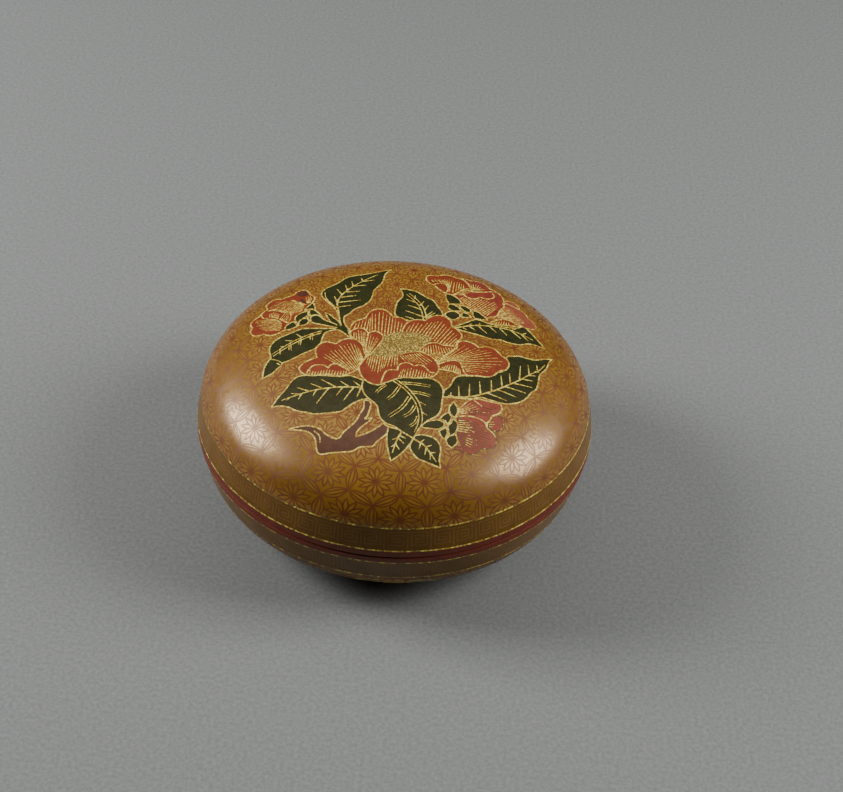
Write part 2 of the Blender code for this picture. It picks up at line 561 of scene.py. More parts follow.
def moved(picture, shift, turn):
    """A picture turned round its own middle and then moved."""
    cosine, sine = math.cos(turn), math.sin(turn)
    spin = np.array([[cosine, sine], [-sine, cosine]])
    return [{
        **part, "outline": part["outline"] @ spin + shift,
        "lines": [(line @ spin + shift, half) for line, half in part["lines"]],
    } for part in picture]


def enclosed(spots, line):
    """Which of the spots lie inside a closed line."""
    start, end = line, np.roll(line, -1, 0)
    low, high = start[:, 1] <= spots[:, 1:], end[:, 1] <= spots[:, 1:]
    reach = end - start
    side = reach[:, 0] * (spots[:, 1:] - start[:, 1]) - reach[:, 1] * (spots[:, :1] - start[:, 0])
    return ((low & ~high & (side > 0)).sum(1) - (~low & high & (side < 0)).sum(1)) != 0


def covered(spots, line, half, closed=False):
    """Which of the spots lie on a line of this half width."""
    half = np.broadcast_to(half, len(line))
    start, first = (line, half) if closed else (line[:-1], half[:-1])
    end, last = (np.roll(line, -1, 0), np.roll(half, -1)) if closed else (line[1:], half[1:])
    reach = end - start
    away = spots[:, None] - start
    share = np.clip((away * reach).sum(2) / np.maximum((reach**2).sum(1), 1e-9), 0, 1)
    gap = np.linalg.norm(away - share[..., None] * reach, axis=2)
    return (gap < first + (last - first) * share).any(1)


def nearby(spots, line):
    """The numbers of the spots in the upright box round a line of gold."""
    low, high = line.min(0) - OUTLINE_WIDTH, line.max(0) + OUTLINE_WIDTH
    return np.flatnonzero(((spots > low) & (spots < high)).all(1))


def cut_up(inner, outer, picture, surface):
    """The chart cut into triangles along every line of the picture, and the colour of each.

    Rings of points fill the plain ground, closer together where the surface bends more.
    """
    points, edges = [], []

    def knife(line):
        """Marks a closed line that the chart is cut along."""
        first, count = sum(map(len, points)), len(line)
        points.append(line)
        edges.extend((first + k, first + (k + 1) % count) for k in range(count))

    def circle(radius, count, shift=0.0):
        """Points evenly round the middle of the chart."""
        turn = (np.arange(count) + shift) * 2 * math.pi / count
        return np.stack([radius * np.cos(turn), radius * np.sin(turn)], 1)

    knife(circle(outer, STEPS))
    if inner:
        knife(circle(inner, STEPS))
    arc, row = outer, 0
    while arc > inner + LAST_RING:
        bend = abs(np.interp(arc, surface.arc, np.gradient(np.arctan(surface.slope), surface.arc)))
        arc -= min(GRID_STEP, max(FINEST_STEP, GRID_BEND / max(bend, 0.01)))
        row += 1
        if arc > inner + GRID_CLEAR:
            points.append(circle(arc, max(6, round(2 * math.pi * arc / GRID_STEP)), row / 2 % 1))
    for part in picture:
        outline = part["outline"]
        if part["edged"]:
            knife(beside(outline, OUTLINE_WIDTH / 2, closed=True))
            knife(beside(outline, -OUTLINE_WIDTH / 2, closed=True))
        elif part["kind"] != "lines":
            knife(outline)
        for line, half in part["lines"]:
            knife(np.concatenate([beside(line, half), beside(line, -half)[::-1]]))
    spots = np.concatenate(points)
    flat, _, faces = geometry.delaunay_2d_cdt(spots.tolist(), edges, [], 0, 1e-4, False)[:3]
    flat, faces = np.array([tuple(spot) for spot in flat]), np.array(faces)
    middles = flat[faces].mean(1)
    kinds = np.zeros(len(faces), int)
    kinds[np.hypot(*middles.T) < inner] = -1
    for part in picture:
        outline = part["outline"]
        close = nearby(middles, outline)
        if part["kind"] != "lines":
            kinds[close[enclosed(middles[close], outline)]] = COLOURS.index(part["kind"])
        ink = COLOURS.index(part["ink"])
        if part["edged"]:
            kinds[close[covered(middles[close], outline, OUTLINE_WIDTH / 2, closed=True)]] = ink
        for line, half in part["lines"]:
            close = nearby(middles, line)
            drawn = covered(middles[close], line, half) & enclosed(middles[close], outline)
            kinds[close[drawn]] = ink
    return flat, faces, kinds


def inlaid(name, surface, inner, outer, picture, lacquers):
    """A coat on the surface, as one closed piece for each colour of the picture.

    The lacquers stand in the order of COLOURS, with the ground's first.
    """
    flat, faces, kinds = cut_up(inner, outer, picture, surface)
    for kind, (title, (material, slot)) in enumerate(lacquers.items()):
        used, corners = np.unique(faces[kinds == kind], return_inverse=True)
        if not len(used):
            continue
        work = bmesh.new()
        number = work.verts.layers.int.new("number")
        spots = [work.verts.new(spot) for spot in surface.lifted(flat[used], COAT)]
        for count, spot in enumerate(spots):
            spot[number] = count
        for face in corners.reshape(-1, 3):
            work.faces.new([spots[corner] for corner in face])
        made = bmesh.ops.extrude_face_region(work, geom=work.faces[:], use_keep_orig=True)
        top = surface.lifted(flat[used])
        for spot in made["geom"]:
            if isinstance(spot, bmesh.types.BMVert):
                spot.co = top[spot[number]]
        bmesh.ops.recalc_face_normals(work, faces=work.faces[:])
        work.verts.layers.int.remove(number)
        mesh = meshed(work, name + "_" + title)
        charted(mesh, surface)
        mesh.shade_smooth()
        polished(mesh, surface)
        fitted(piece_of(name + "_" + title, mesh), material)


def picture_lacquer(name, light, dark, patch=2.2, shine=1.75):
    """A picture's lacquer, ground flush with the rest: clouded, with faint scratches of the polishing."""
    material, shader, place = lacquer(name, shine=shine)
    cloud = ranged(clouds(place, patch, 4.0, 0.65), 0.32, 0.68)
    feed(shader.inputs["Base Color"], blended(cloud, colour(*light), colour(*dark)))
    surfaced(shader, clouds(place, 0.8, 3.0), 0.015)
    return material


def gold_line(
    name, wear_from, wear_to, patch=1.6, under=(126, 84, 38), lean=(0.0, 0.0), metal=0.12, gone=0.9
):
    """Gold powder in lacquer. The smaller the wear numbers, the more of it has gone.

    lean is how much more of it is bare at the left and in front than in the middle; the extra bare gold in
    front is partly painted shade. gone is the share that is missing from the bare places. The lacquer
    under it shows there.
    """
    material, shader, place = lacquer(name, gloss=0.38)
    thin = clouds(place, patch, 3.0, 0.6)
    for side, more in zip(split(place), lean):
        thin = thin - side * (more / (BOX_RADIUS * MM))
    bare = ranged(thin, wear_from, wear_to, 0.0, gone, "SMOOTHSTEP")
    dust = ranged(clouds(place, 0.8, 3.0, 0.6), 0.4, 0.58)
    powder = blended(dust, colour(255, 244, 122), colour(184, 138, 48))
    feed(shader.inputs["Base Color"], blended(bare, powder, colour(*under)))
    feed(shader.inputs["Metallic"], ranged(bare, 0.0, gone, metal, 0.0))
    surfaced(shader, clouds(place, 0.3, 2.0), 0.02)
    return material


def stamen_gold(name):
    """Gold powder dotted on with a brush tip, with dark olive lacquer between the dots."""
    material, shader, place = lacquer(name, gloss=0.4)
    dots = node(place.tree, "TexVoronoi", feature="F1")
    feed(dots.inputs["Vector"], place)
    dots.inputs["Scale"].default_value = 1 / (0.48 * MM)
    dot = ranged(Reading(dots.outputs["Distance"]), 0.28, 0.52, 1.0, 0.0, "SMOOTHSTEP")
    thin = ranged(clouds(place, 3.0, 2.0), 0.35, 0.65, 0.45, 1.0)
    feed(shader.inputs["Base Color"], blended(dot * thin, colour(122, 99, 42), colour(240, 208, 110)))
    surfaced(shader, dot, 0.02)
    return material


gold = gold_line("spray_gold", wear_from=0.62, wear_to=0.74)
petal_red = picture_lacquer("petal_red", (142, 66, 42), (122, 52, 32))
leaf_green = picture_lacquer("leaf_green", (57, 58, 34), (41, 43, 22), patch=1.6, shine=1.5)
branch_brown = picture_lacquer("branch_brown", (94, 58, 46), (74, 45, 35))
stamens = stamen_gold("stamen_gold")
spray_lacquers = {
    "petals": (petal_red, "red_lacquer"), "leaves": (leaf_green, "green_lacquer"),
    "branch": (branch_brown, "brown_lacquer"), "stamens": (stamens, "gold_line"),
    "gold": (gold, "gold_line"),
}


def small_spray():
    """A flower between two leaves, drawn round its own middle with its top away from the foot."""
    rays = [(math.cos(turn), math.sin(turn)) for turn in np.arange(5) * 2 * math.pi / 5 + 0.3]
    petals = []
    for (x, y), (next_x, next_y) in zip(rays, rays[1:] + rays[:1]):
        side = [(3.1 * x, 3.1 * y), (2.1 * (x + next_x), 2.1 * (y + next_y)), (1.6 * next_x, 1.6 * next_y)]
        petals.append(side)
    edges = [
        [(2.0, 0.4), (3.6, 2.0), (6.2, 2.5), (9.0, 1.4), (10.8, -0.6)],
        [(8.0, -1.2), (5.0, -1.2), (2.0, -0.4)],
    ]
    ribs = [
        [(2.2, 0), (5.0, 0.7), (8.0, 0.4), (10.0, -0.4)], [(4.0, 0.5), (4.8, 1.7)],
        [(5.8, 0.7), (6.8, 1.6)], [(5.0, 0.6), (5.8, -0.6)], [(7.0, 0.5), (7.9, -0.5)],
    ]
    spray = []
    for side in (1, -1):
        outline = [[(side * x, y) for x, y in edge] for edge in edges]
        lines = [stroke([(side * x, y) for x, y in rib], 0.36) for rib in ribs]
        spray.append(shape("leaves", *outline, lines=lines))
    inner, outer = [[(reach * x, reach * y) for x, y in rays] for reach in (0.9, 2.2)]
    spray.append(shape("petals", *petals, lines=hairs(inner + inner[:1], outer + outer[:1], 20, 0.3)))
    spray.append(shape("stamens", inner, edged=False))
    return spray


SPRAYS = 3
SPRAY_INSET = 5.2
FIRST_SPRAY = math.radians(-86)
FIRST_RING_INSET = 3.0
BELLY_EDGE_INSET = 0.18
sprays = []
for count in range(SPRAYS):
    turn = FIRST_SPRAY + count * 2 * math.pi / SPRAYS
    middle = np.array([math.cos(turn), math.sin(turn)]) * (band_arc - SPRAY_INSET)
    sprays += moved(small_spray(), middle, turn - math.pi / 2)
belly_ochre = ochre_lacquer("belly_ochre", belly, first_ring=band_arc - FIRST_RING_INSET, shine=1.45)
inlaid("base", belly, foot_arc, band_arc - BELLY_EDGE_INSET, sprays, {
    "belly": (belly_ochre, "ochre_lacquer"), **spray_lacquers,
})

# Key fret bands.
# A band of squared spirals, in pairs that mirror each other and with an upright between neighbours,
# runs round the base and the lid. The ground is olive-brown lacquer and the strokes are a lighter
# red-brown, incised, filled and polished flat.
FRET_UNITS = 56
FRET_CELL = 6
FRET_STROKES = (
    ((2.6, 3), (4, 3)), ((4, 2), (4, 3)), ((2, 2), (4, 2)), ((2, 2), (2, 4)), ((2, 4), (5, 4)),
    ((5, 1), (5, 4)), ((1, 1), (5, 1)), ((1, 1), (1, 5)), ((1, 5), (6, 5)), ((6, 0), (6, 5)),
    ((0, 0), (0, 5)),
)
STROKE_WIDTH = 0.42
BAND_MARGIN = 1.05


def fret_lacquer(name, low, high):
    """The fret's lacquer, for a band between two circles given as radius and height."""
    material, shader, place = lacquer(name, gloss=0.3, shine=1.5)
    shift, lift = [part * 0.36 - 0.18 for part in split(clouds(place, 2.5, 2.0, 0.5, "Color"))[:2]]
    x, y, z = split(place)
    along = reckon("ARCTAN2", y, x) * (FRET_UNITS * FRET_CELL / (2 * math.pi)) + shift
    along = reckon("PINGPONG", along + FRET_CELL * FRET_UNITS, FRET_CELL)
    levels = max(end[1] for _, end in FRET_STROKES)
    slant = math.dist(low, high)
    margin = BAND_MARGIN * (high[1] - low[1]) / slant
    up = ranged(z, (low[1] + margin) * MM, (high[1] - margin) * MM, 0.0, levels)
    up.socket.node.clamp = False
    up = up + lift
    near = FRET_CELL
    for (left, bottom), (right, top) in FRET_STROKES:
        beside_it = abs(along - (left + right) / 2) - (right - left) / 2
        above_it = abs(up - (bottom + top) / 2) - (top - bottom) / 2
        near = reckon("MINIMUM", near, reckon("MAXIMUM", beside_it, above_it))
    half = STROKE_WIDTH * levels / (slant - 2 * BAND_MARGIN) / 2
    drawn = ranged(near, half + 0.09, half - 0.09, kind="SMOOTHSTEP")
    cloud = ranged(clouds(place, 5.0, 4.0, 0.6), 0.3, 0.7)
    ground = blended(cloud, colour(108, 76, 20), colour(94, 63, 14))
    ink = blended(cloud, colour(128, 93, 54), colour(112, 79, 44))
    worn = ranged(clouds(place, 2.0, 3.0), 0.3, 0.7, 0.45, 0.9)
    feed(shader.inputs["Base Color"], blended(drawn * worn, ground, ink))
    surfaced(shader, clouds(place, 5.0, 2.0) - drawn * 0.3, 0.03)
    return material


def wrapped(mesh, low, high):
    """A band's UV map: its turn laid out in stacked rows with a little room between them."""
    rows, end_gap, row_gap = 6, 0.01, 0.05
    layer = mesh.uv_layers.new(name="OFBake")
    for face in mesh.polygons:
        middle = face.center
        turn = math.atan2(middle.y, middle.x) / (2 * math.pi) % 1.0
        row = math.floor(turn * rows)
        for corner in face.loop_indices:
            spot = mesh.vertices[mesh.loops[corner].vertex_index].co
            here = math.atan2(spot.y, spot.x) / (2 * math.pi)
            here += round(turn - here)
            up = (spot.z / MM - low) / (high - low)
            across = end_gap + (1 - 2 * end_gap) * (here * rows - row)
            layer.uv[corner].vector = (across, (row + row_gap + (1 - 2 * row_gap) * up) / rows)


def step_from(start, towards, distance):
    """The point this far from one point on the way to another."""
    share = distance / math.dist(start, towards)
    return tuple(a + (b - a) * share for a, b in zip(start, towards))


def inward(point):
    """The point a coat's depth nearer to the axis."""
    return point[0] - COAT, point[1]


def coat_between(low, high):
    """The outline of a coat between two circles, let into the wood."""
    return [low, high, inward(high), inward(low)]


def band(name, low, high, below, above):
    """A closed coat of fret lacquer between two circles, less the gold rings below and above it."""
    lower, upper = step_from(low, high, below), step_from(high, low, above)
    piece = turned(name, coat_between(lower, upper), closed=True)
    wrapped(piece.data, lower[1], upper[1])
    fitted(piece, fret_lacquer(name + "_lacquer", low, high))


RING_WIDTH = 0.42
band("base_fret_band", BASE_BAND_BOTTOM, BASE_BAND_TOP, RING_WIDTH / 2, RING_WIDTH)

# Gold rings.
# Gold powder in a narrow groove marks each edge of the fret bands. It has worn off in places, and the
# brown lacquer under it shows there.
patchy_ring = gold_line(
    "patchy_ring_gold", 0.45, 0.51, patch=1.6, under=(84, 62, 32), lean=(0.05, 0.0), metal=0.25
)
# This ring's gold is barer in front: partly wear, partly painted shade.
front_worn_shaded_ring = gold_line(
    "front_worn_shaded_ring_gold", 0.52, 0.58, patch=1.4, under=(88, 66, 32), lean=(0.0, 0.06), metal=0.25
)


def ring(name, outline, material):
    """A closed gold ring round the box, laid in a groove a coat deep."""
    fitted(turned(name, outline, closed=True), material)


def corner_ring(name, surface, corner, band_end, material):
    """The ring on the corner between a domed surface and a band."""
    arc = surface.arc[-1] - RING_WIDTH / 2
    domed, deep = [tuple(float(size) for size in surface.at(arc, depth)) for depth in (0, COAT)]
    banded = step_from(corner, band_end, RING_WIDTH / 2)
    ring(name, [domed, corner, banded, inward(banded), deep], material)


corner_ring("base_belly_ring", belly, BASE_BAND_BOTTOM, BASE_BAND_TOP, patchy_ring)
ring_foot = step_from(BASE_BAND_TOP, BASE_BAND_BOTTOM, RING_WIDTH)
ring("base_rim_ring", coat_between(ring_foot, BASE_BAND_TOP), front_worn_shaded_ring)

# Lid, turned in wood.
# The upper half is turned and hollowed like the base, with a rebate inside its rim that goes over the
# base's lip. Its rim and inside are coated with the same plain red lacquer.
SHOULDER = (51.25, LID_RIM_BOTTOM + 8.9)
LID_BAND_BOTTOM = (BOX_RADIUS, LID_RIM_BOTTOM + 2.0)
LID_WALL = 3.0
BORE_RADIUS = 50.3
LIP_CLEARANCE = 0.35
REBATE_TOP = LIP_TOP + LIP_CLEARANCE
DOME_POINTS = 28
REBATE_LEDGE = 0.1
dome = Domed(SHOULDER[0], overrun=1.15, centre=APEX, edge=SHOULDER[1], flat=3.58, side=3.01)
dome_arc = dome.arc[-1]


def inside_lid():
    """From the rebate up the inner wall to the middle of the ceiling, each point further in and up."""
    inwards, upwards = 0.05, 0.02
    wall = [(BOX_RADIUS - LID_WALL - REBATE_LEDGE, REBATE_TOP)]
    for radius, height in zip(*dome.at(np.linspace(dome_arc, 0, DOME_POINTS), LID_WALL)):
        if radius < wall[-1][0] - inwards and height > wall[-1][1] + upwards:
            wall.append((radius, height))
    return wall + [(0, APEX - LID_WALL)]


lid_body = turned("lid_body", list(zip(*dome.at(np.linspace(0, dome_arc, DOME_POINTS), BED))) + [
    (LID_BAND_BOTTOM[0] - BED, LID_BAND_BOTTOM[1]), LID_BAND_BOTTOM,
    (BOX_RADIUS, LID_RIM_BOTTOM + EDGE), (BOX_RADIUS - SEAM_EDGE, LID_RIM_BOTTOM + SEAM_EDGE),
    (BOX_RADIUS - EDGE, LID_RIM_BOTTOM), (BORE_RADIUS + EDGE, LID_RIM_BOTTOM),
    (BORE_RADIUS, LID_RIM_BOTTOM + EDGE), (BORE_RADIUS, REBATE_TOP),
] + inside_lid())
fitted(lid_body, red_lacquer)
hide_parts("lid")

# Fret band and gold rings of the lid.
# They are made like the base's, of fret lacquer and of gold powder in a narrow groove. The ring on the
# shoulder is rubbed most, because hands lift the lid there.
worn_ring = gold_line(
    "worn_ring_gold", 0.46, 0.51, patch=1.4, under=(84, 66, 36), lean=(0.08, 0.0), metal=0.25
)
whole_ring = gold_line(
    "whole_ring_gold", 0.52, 0.58, patch=1.4, under=(92, 68, 32), lean=(0.04, 0.0), metal=0.25
)
band("lid_fret_band", LID_BAND_BOTTOM, SHOULDER, RING_WIDTH, RING_WIDTH / 2)
corner_ring("lid_shoulder_ring", dome, SHOULDER, LID_BAND_BOTTOM, worn_ring)
ring_top = step_from(LID_BAND_BOTTOM, SHOULDER, RING_WIDTH)
ring("lid_rim_ring", coat_between(LID_BAND_BOTTOM, ring_top), whole_ring)

# Camellia spray on the lid.
# A branch with seven camellia leaves, two shoots and four flowers is cut into the ochre lacquer, filled
# with red, green-black and brown lacquers and polished flush. Outlines, veins, hairs of the petals and
# stamens are fine incised lines filled with gold. Places are in millimetres from the middle of the lid.


def leaf(*strokes, ribs, veins, thick=0.50, thin=0.44):
    """A leaf with its strong ribs and its finer veins, each drawn from root to tip."""
    lines = [stroke(rib, thick, 0.5) for rib in ribs] + [stroke(vein, thin, 0.35) for vein in veins]
    return shape("leaves", *strokes, lines=lines)


def twin(points, gap):
    """Two lines side by side, for a rib that is drawn double."""
    line = traced(points)
    return [beside(line, side * gap / 2)[::2].tolist() for side in (-1, 1)]


picture = []

# Shoots and branch.
picture += [
    leaf([(-1.2, -32), (-1, -35), (-0.3, -38), (0.3, -39.8)],
         [(2, -38.3), (3.5, -36.5), (5, -34), (5.5, -32.3)], [(2, -30.5), (-1, -29.8)],
         ribs=[[(2.3, -31.3), (1.3, -34), (0.5, -37.5)]],
         veins=[[(1.7, -33), (0.3, -33.6)], [(1.7, -33), (3.2, -34.6)], [(1.1, -35), (0.1, -35.8)],
                [(1.2, -35), (2.2, -36.4)], [(1.9, -32.2), (3.6, -33)]]),
    leaf([(6, -31.8), (8, -31.4), (10.5, -32), (12, -33.5), (12.5, -35.5), (12.3, -38), (12.8, -40.3)],
         [(9.5, -39.3), (7, -38.5), (5.5, -37), (4.7, -35.3), (5.2, -33.5), (5.3, -32.5)],
         ribs=[[(5.6, -33), (8, -34.3), (9.5, -36), (11.6, -38.8)]],
         veins=[[(7.2, -33.8), (8.2, -32.8)], [(8.7, -35), (10.2, -34.2)], [(9.8, -36.5), (11.3, -36.2)],
                [(7.4, -34), (7, -35.8)], [(8.8, -35.3), (8.6, -37.2)], [(10, -36.9), (10, -38.4)]]),
    shape("branch",
          [(-7.5, -24), (-8.3, -26), (-9, -28), (-10.3, -30), (-12, -32), (-13, -33.8), (-14.5, -33.8),
           (-16.5, -32.5), (-18, -31), (-20.5, -30), (-23, -30), (-26, -30.6)],
          [(-24, -31), (-21.5, -31.5), (-20, -32.5), (-19, -34), (-18.6, -36), (-18.3, -37.5),
           (-17.3, -38.3), (-15, -38), (-12, -37.8), (-9.5, -37.5), (-7.5, -36.3), (-4.5, -35.9),
           (-3.5, -34.5), (-1.3, -32), (-1, -29.8)],
          [(-2.3, -28.7)], [(-3, -29.5), (-5, -31.3), (-7, -32.5), (-8.8, -33.3)],
          [(-8.7, -32), (-7.5, -30), (-6, -28.5), (-5.2, -27.2)],
          [(-7, -27.6), (-6.5, -26.8), (-6, -24.5), (-5.8, -22.3), (-6.5, -21.3), (-7.6, -21.3)],
          lines=[stroke([(-19.5, -31.5), (-18, -33), (-17.7, -35)], 0.4)]),
]

# Leaf at the top left, with the stem that it hangs on.
picture += [
    leaf([(-16.3, 11), (-17.6, 14.3), (-19.6, 17.2), (-21.5, 20), (-21.9, 22), (-20.9, 24.2),
          (-18.7, 26.2), (-17.2, 28), (-16, 29.8), (-14.3, 31), (-11, 32), (-8, 33.4), (-3.8, 35.6)],
         [(-5.3, 32.5), (-5.6, 29.3), (-6.2, 26.8), (-7.8, 23.7), (-8.1, 21), (-8.7, 18.6), (-10.3, 16.2),
          (-12.4, 14.6), (-13.6, 12.6), (-14.9, 11.2), (-15, 9.9), (-14.8, 8.6), (-14.2, 7.1),
          (-12.9, 5.2)],
         [(-13.6, 4), (-15.2, 6.6), (-16.1, 9.4)],
         ribs=[[(-16.4, 11.5), (-16.8, 14), (-17.3, 17), (-16.6, 20.3), (-15.2, 23), (-13, 26),
                (-11, 28.3), (-9.2, 30.2), (-7.4, 32)]],
         veins=[[(-17.6, 15), (-13.5, 16.2)], [(-17.2, 17.3), (-11, 18.8)],
                [(-16.3, 19.8), (-12.5, 20.8)], [(-15.3, 22.4), (-11.5, 22.9)],
                [(-13.8, 25.3), (-10, 26.1)], [(-11, 28), (-8, 28.9)], [(-17.4, 17.5), (-18.3, 20.2)],
                [(-16.3, 21), (-17.9, 23.8)], [(-15, 23.2), (-15.8, 26)], [(-13.7, 25.8), (-14.2, 28)],
                [(-11.3, 28.5), (-11.8, 30)], [(-17.6, 15), (-20.3, 19), (-21, 22.2)]]),
]

# Leaf at the top, behind the main flower.
picture.append(leaf(
    [(0.5, 11.7), (-1.2, 12.5), (-1.8, 14), (-1.6, 17), (-1.3, 19), (-0.3, 20.8), (-0.1, 22.5),
     (-0.8, 25)],
    [(0.8, 25), (3.5, 24.2), (5, 23), (6.5, 21.7), (8.3, 20.5), (9.5, 18), (10.8, 15.5), (11, 12.5)],
    [(6, 10), (2.2, 11)],
    thick=0.36,
    ribs=twin([(6.3, 12), (5.8, 15), (4.8, 18), (3, 20.8), (1.3, 22.8)], 0.9),
    veins=[[(3, 12), (1.2, 12.6)], [(5.3, 13.3), (1, 15.2)], [(4.8, 16.3), (1.5, 17.7)],
           [(3.8, 19), (1, 20.3)], [(6, 12.7), (8.2, 15.7)], [(6.6, 12.7), (8.9, 15.2)],
           [(6, 16), (7, 18.2)], [(4.8, 18), (5.8, 20)], [(3.2, 21), (3.3, 22.5)]],
))

# Leaf at the upper right.
picture.append(leaf(
    [(17, 12), (19.5, 13.9), (21, 13.9), (23, 13), (28, 12.5), (31, 13.3), (32.7, 14.6), (34.5, 13),
     (36, 11), (37.5, 9), (38.8, 7.3)],
    [(36.5, 7.6), (34, 7.3), (31.5, 6), (28.5, 6), (26.5, 6.6), (24, 6.4), (21, 7.3), (18, 8.1),
     (15.5, 8.8), (14, 9.8)],
    ribs=[[(14.8, 9.6), (18, 10.9), (21, 11.6), (25, 12), (29, 11.6), (32, 10.9), (35.4, 9.5)]],
    veins=[[(16.5, 9.8), (17.5, 9)], [(18, 10.8), (19.8, 9.2)], [(20.7, 11), (22.8, 8.5)],
           [(23.5, 11.7), (25.3, 9.5)], [(26.3, 11.5), (28.2, 9)], [(29.5, 11.3), (32, 8.8)],
           [(32.3, 10.5), (34, 8.6)], [(18, 11), (18.8, 12.2)], [(20.5, 11.6), (21, 12.7)],
           [(29.5, 11.7), (30.8, 13)], [(32.5, 11), (33.5, 12)]],
))

# Leaf at the right.
picture.append(leaf(
    [(13.8, -13.8), (14.8, -11), (16, -9.8), (18.5, -9.3), (24, -8.6), (25.5, -7), (28, -5), (28.2, -0.2),
     (29.5, 0.5), (31.5, 1.2), (34, 1), (36, 1.3), (38, 2.5), (40.8, 4)],
    [(39.8, 2), (39, -1), (37.3, -4), (36.8, -7), (36.3, -9.8), (35, -11.5), (33.8, -13.8), (32.2, -15.7),
     (30, -17), (27.5, -17.6), (24.5, -17.2), (21.8, -16.7), (18.5, -17.8), (12, -18)],
    [(12.5, -15.5)],
    ribs=[[(13.5, -17.4), (16, -17.6), (19.5, -16.8), (23, -15), (26, -13), (29, -10.5), (32, -7.8),
           (34.5, -5), (37, -2.5), (38.6, 0.4)]],
    veins=[[(14, -17.6), (14.2, -16.2)], [(16.3, -17.3), (16, -13.5)], [(18.8, -16.6), (18.8, -12.2)],
           [(21.7, -15.5), (21.3, -11)], [(24.5, -14), (24.3, -10)], [(27.2, -12), (26.8, -7.5)],
           [(29.3, -10), (29, -6.2)], [(31.7, -7.7), (31.9, -2.5)], [(34.3, -5), (33.9, -1.5)],
           [(36.5, -2.5), (36.3, -0.6)], [(23, -14.7), (28.5, -16.4)], [(26, -13), (31, -14.5)],
           [(28.3, -11.5), (33.5, -12.3)], [(30.3, -9.7), (35.2, -9.7)], [(32.3, -7.5), (35.3, -7.2)],
           [(34.3, -5.4), (36.2, -5)], [(36, -3.3), (37, -3.2)]],
))

# Leaf at the lower left.
picture.append(leaf(
    [(-10, -13.2), (-12, -12.5), (-14.5, -13), (-20, -12.8), (-24, -13), (-26, -14.2), (-28, -18),
     (-29.3, -20), (-31, -23.2)],
    [(-28.5, -23.2), (-26.5, -23.8), (-24.5, -25), (-21.5, -25.8), (-19.2, -26.3), (-13.5, -25.5),
     (-12, -24.3), (-10, -22.3), (-8, -21), (-6.8, -20.7)],
    [(-7.4, -17), (-8.3, -14)],
    ribs=[[(-8.4, -16.7), (-13, -16.8), (-17, -17.4), (-21, -18.4), (-24, -19.6), (-28.6, -21.4)]],
    veins=[[(-9, -16.2), (-10.8, -14.5)], [(-11.5, -16.8), (-14, -14.8)], [(-15, -17), (-19, -14.3)],
           [(-18.3, -17.6), (-21.5, -15.9)], [(-22, -18.5), (-25, -17.2)],
           [(-24.3, -19.6), (-26.3, -19.2)], [(-8.8, -17.3), (-9.5, -20.3)],
           [(-10.6, -17), (-12.8, -21.7)], [(-13.3, -17), (-14.7, -20)], [(-16.8, -17.4), (-19.5, -22.8)],
           [(-20, -18.3), (-20.6, -20.2)], [(-23.7, -19.8), (-24.2, -21.3)],
           [(-26.5, -20.6), (-27.3, -21.5)]],
))

# Leaf at the left, under the small flower.
picture.append(leaf(
    [(-17, 5.9), (-20, 5.7), (-25.5, 5.5), (-28.5, 3.8), (-31, 2.3), (-32.5, 0.8), (-33.5, -1.5),
     (-33.3, -3.8), (-32.8, -5.8), (-33.5, -7.3), (-34.2, -9.5), (-34.3, -13.2)],
    [(-32, -11.8), (-31, -10.5), (-29.8, -9), (-29.5, -8), (-28, -7.3), (-26.5, -6.2), (-24.5, -4.6),
     (-22.5, -3.3), (-21, -2), (-20.2, -0.2), (-20, 2), (-19.4, 4), (-18, 5), (-16.4, 5.4), (-15, 4.6),
     (-13.6, 3.2), (-12.6, 2.2)],
    [(-13, 4.6), (-14.6, 6)],
    ribs=twin([(-20.5, 4.3), (-23, 3), (-26, 1), (-29, -1.5), (-32.8, -5.2)], 0.8),
    veins=[[(-22.8, 3.4), (-22.5, 0.8)], [(-23.3, 3), (-23.1, 0.9)], [(-25.5, 1.2), (-25.5, -1.2)],
           [(-26, 0.9), (-26, -1)], [(-28, -0.8), (-27.7, -3.3)], [(-28.5, -1), (-28.3, -3)],
           [(-30.7, -2.8), (-30.5, -4.6)], [(-25.8, 2.3), (-27, 3.4)], [(-27.5, 0.5), (-29.8, 0.9)],
           [(-30, -1.6), (-30.8, -1.6)], [(-32.8, -6.3), (-31, -6.9), (-29.7, -8)],
           [(-31, -8), (-30, -8.8)]],
    thick=0.36,
    thin=0.36,
))


def petal(*strokes, hair=(), folds=(), kind="petals", ink="gold"):
    """A petal with sets of gold hairs, and with gold lines where its edge turns over."""
    lines = [line for roots, tips, count, *rest in hair for line in hairs(roots, tips, count, *rest)]
    return shape(kind, *strokes, lines=lines + [stroke(fold, 0.42, 0.7) for fold in folds], ink=ink)


def sepals(*outlines):
    """The small scales that hold a flower."""
    return [shape("leaves", *strokes) for strokes in outlines]


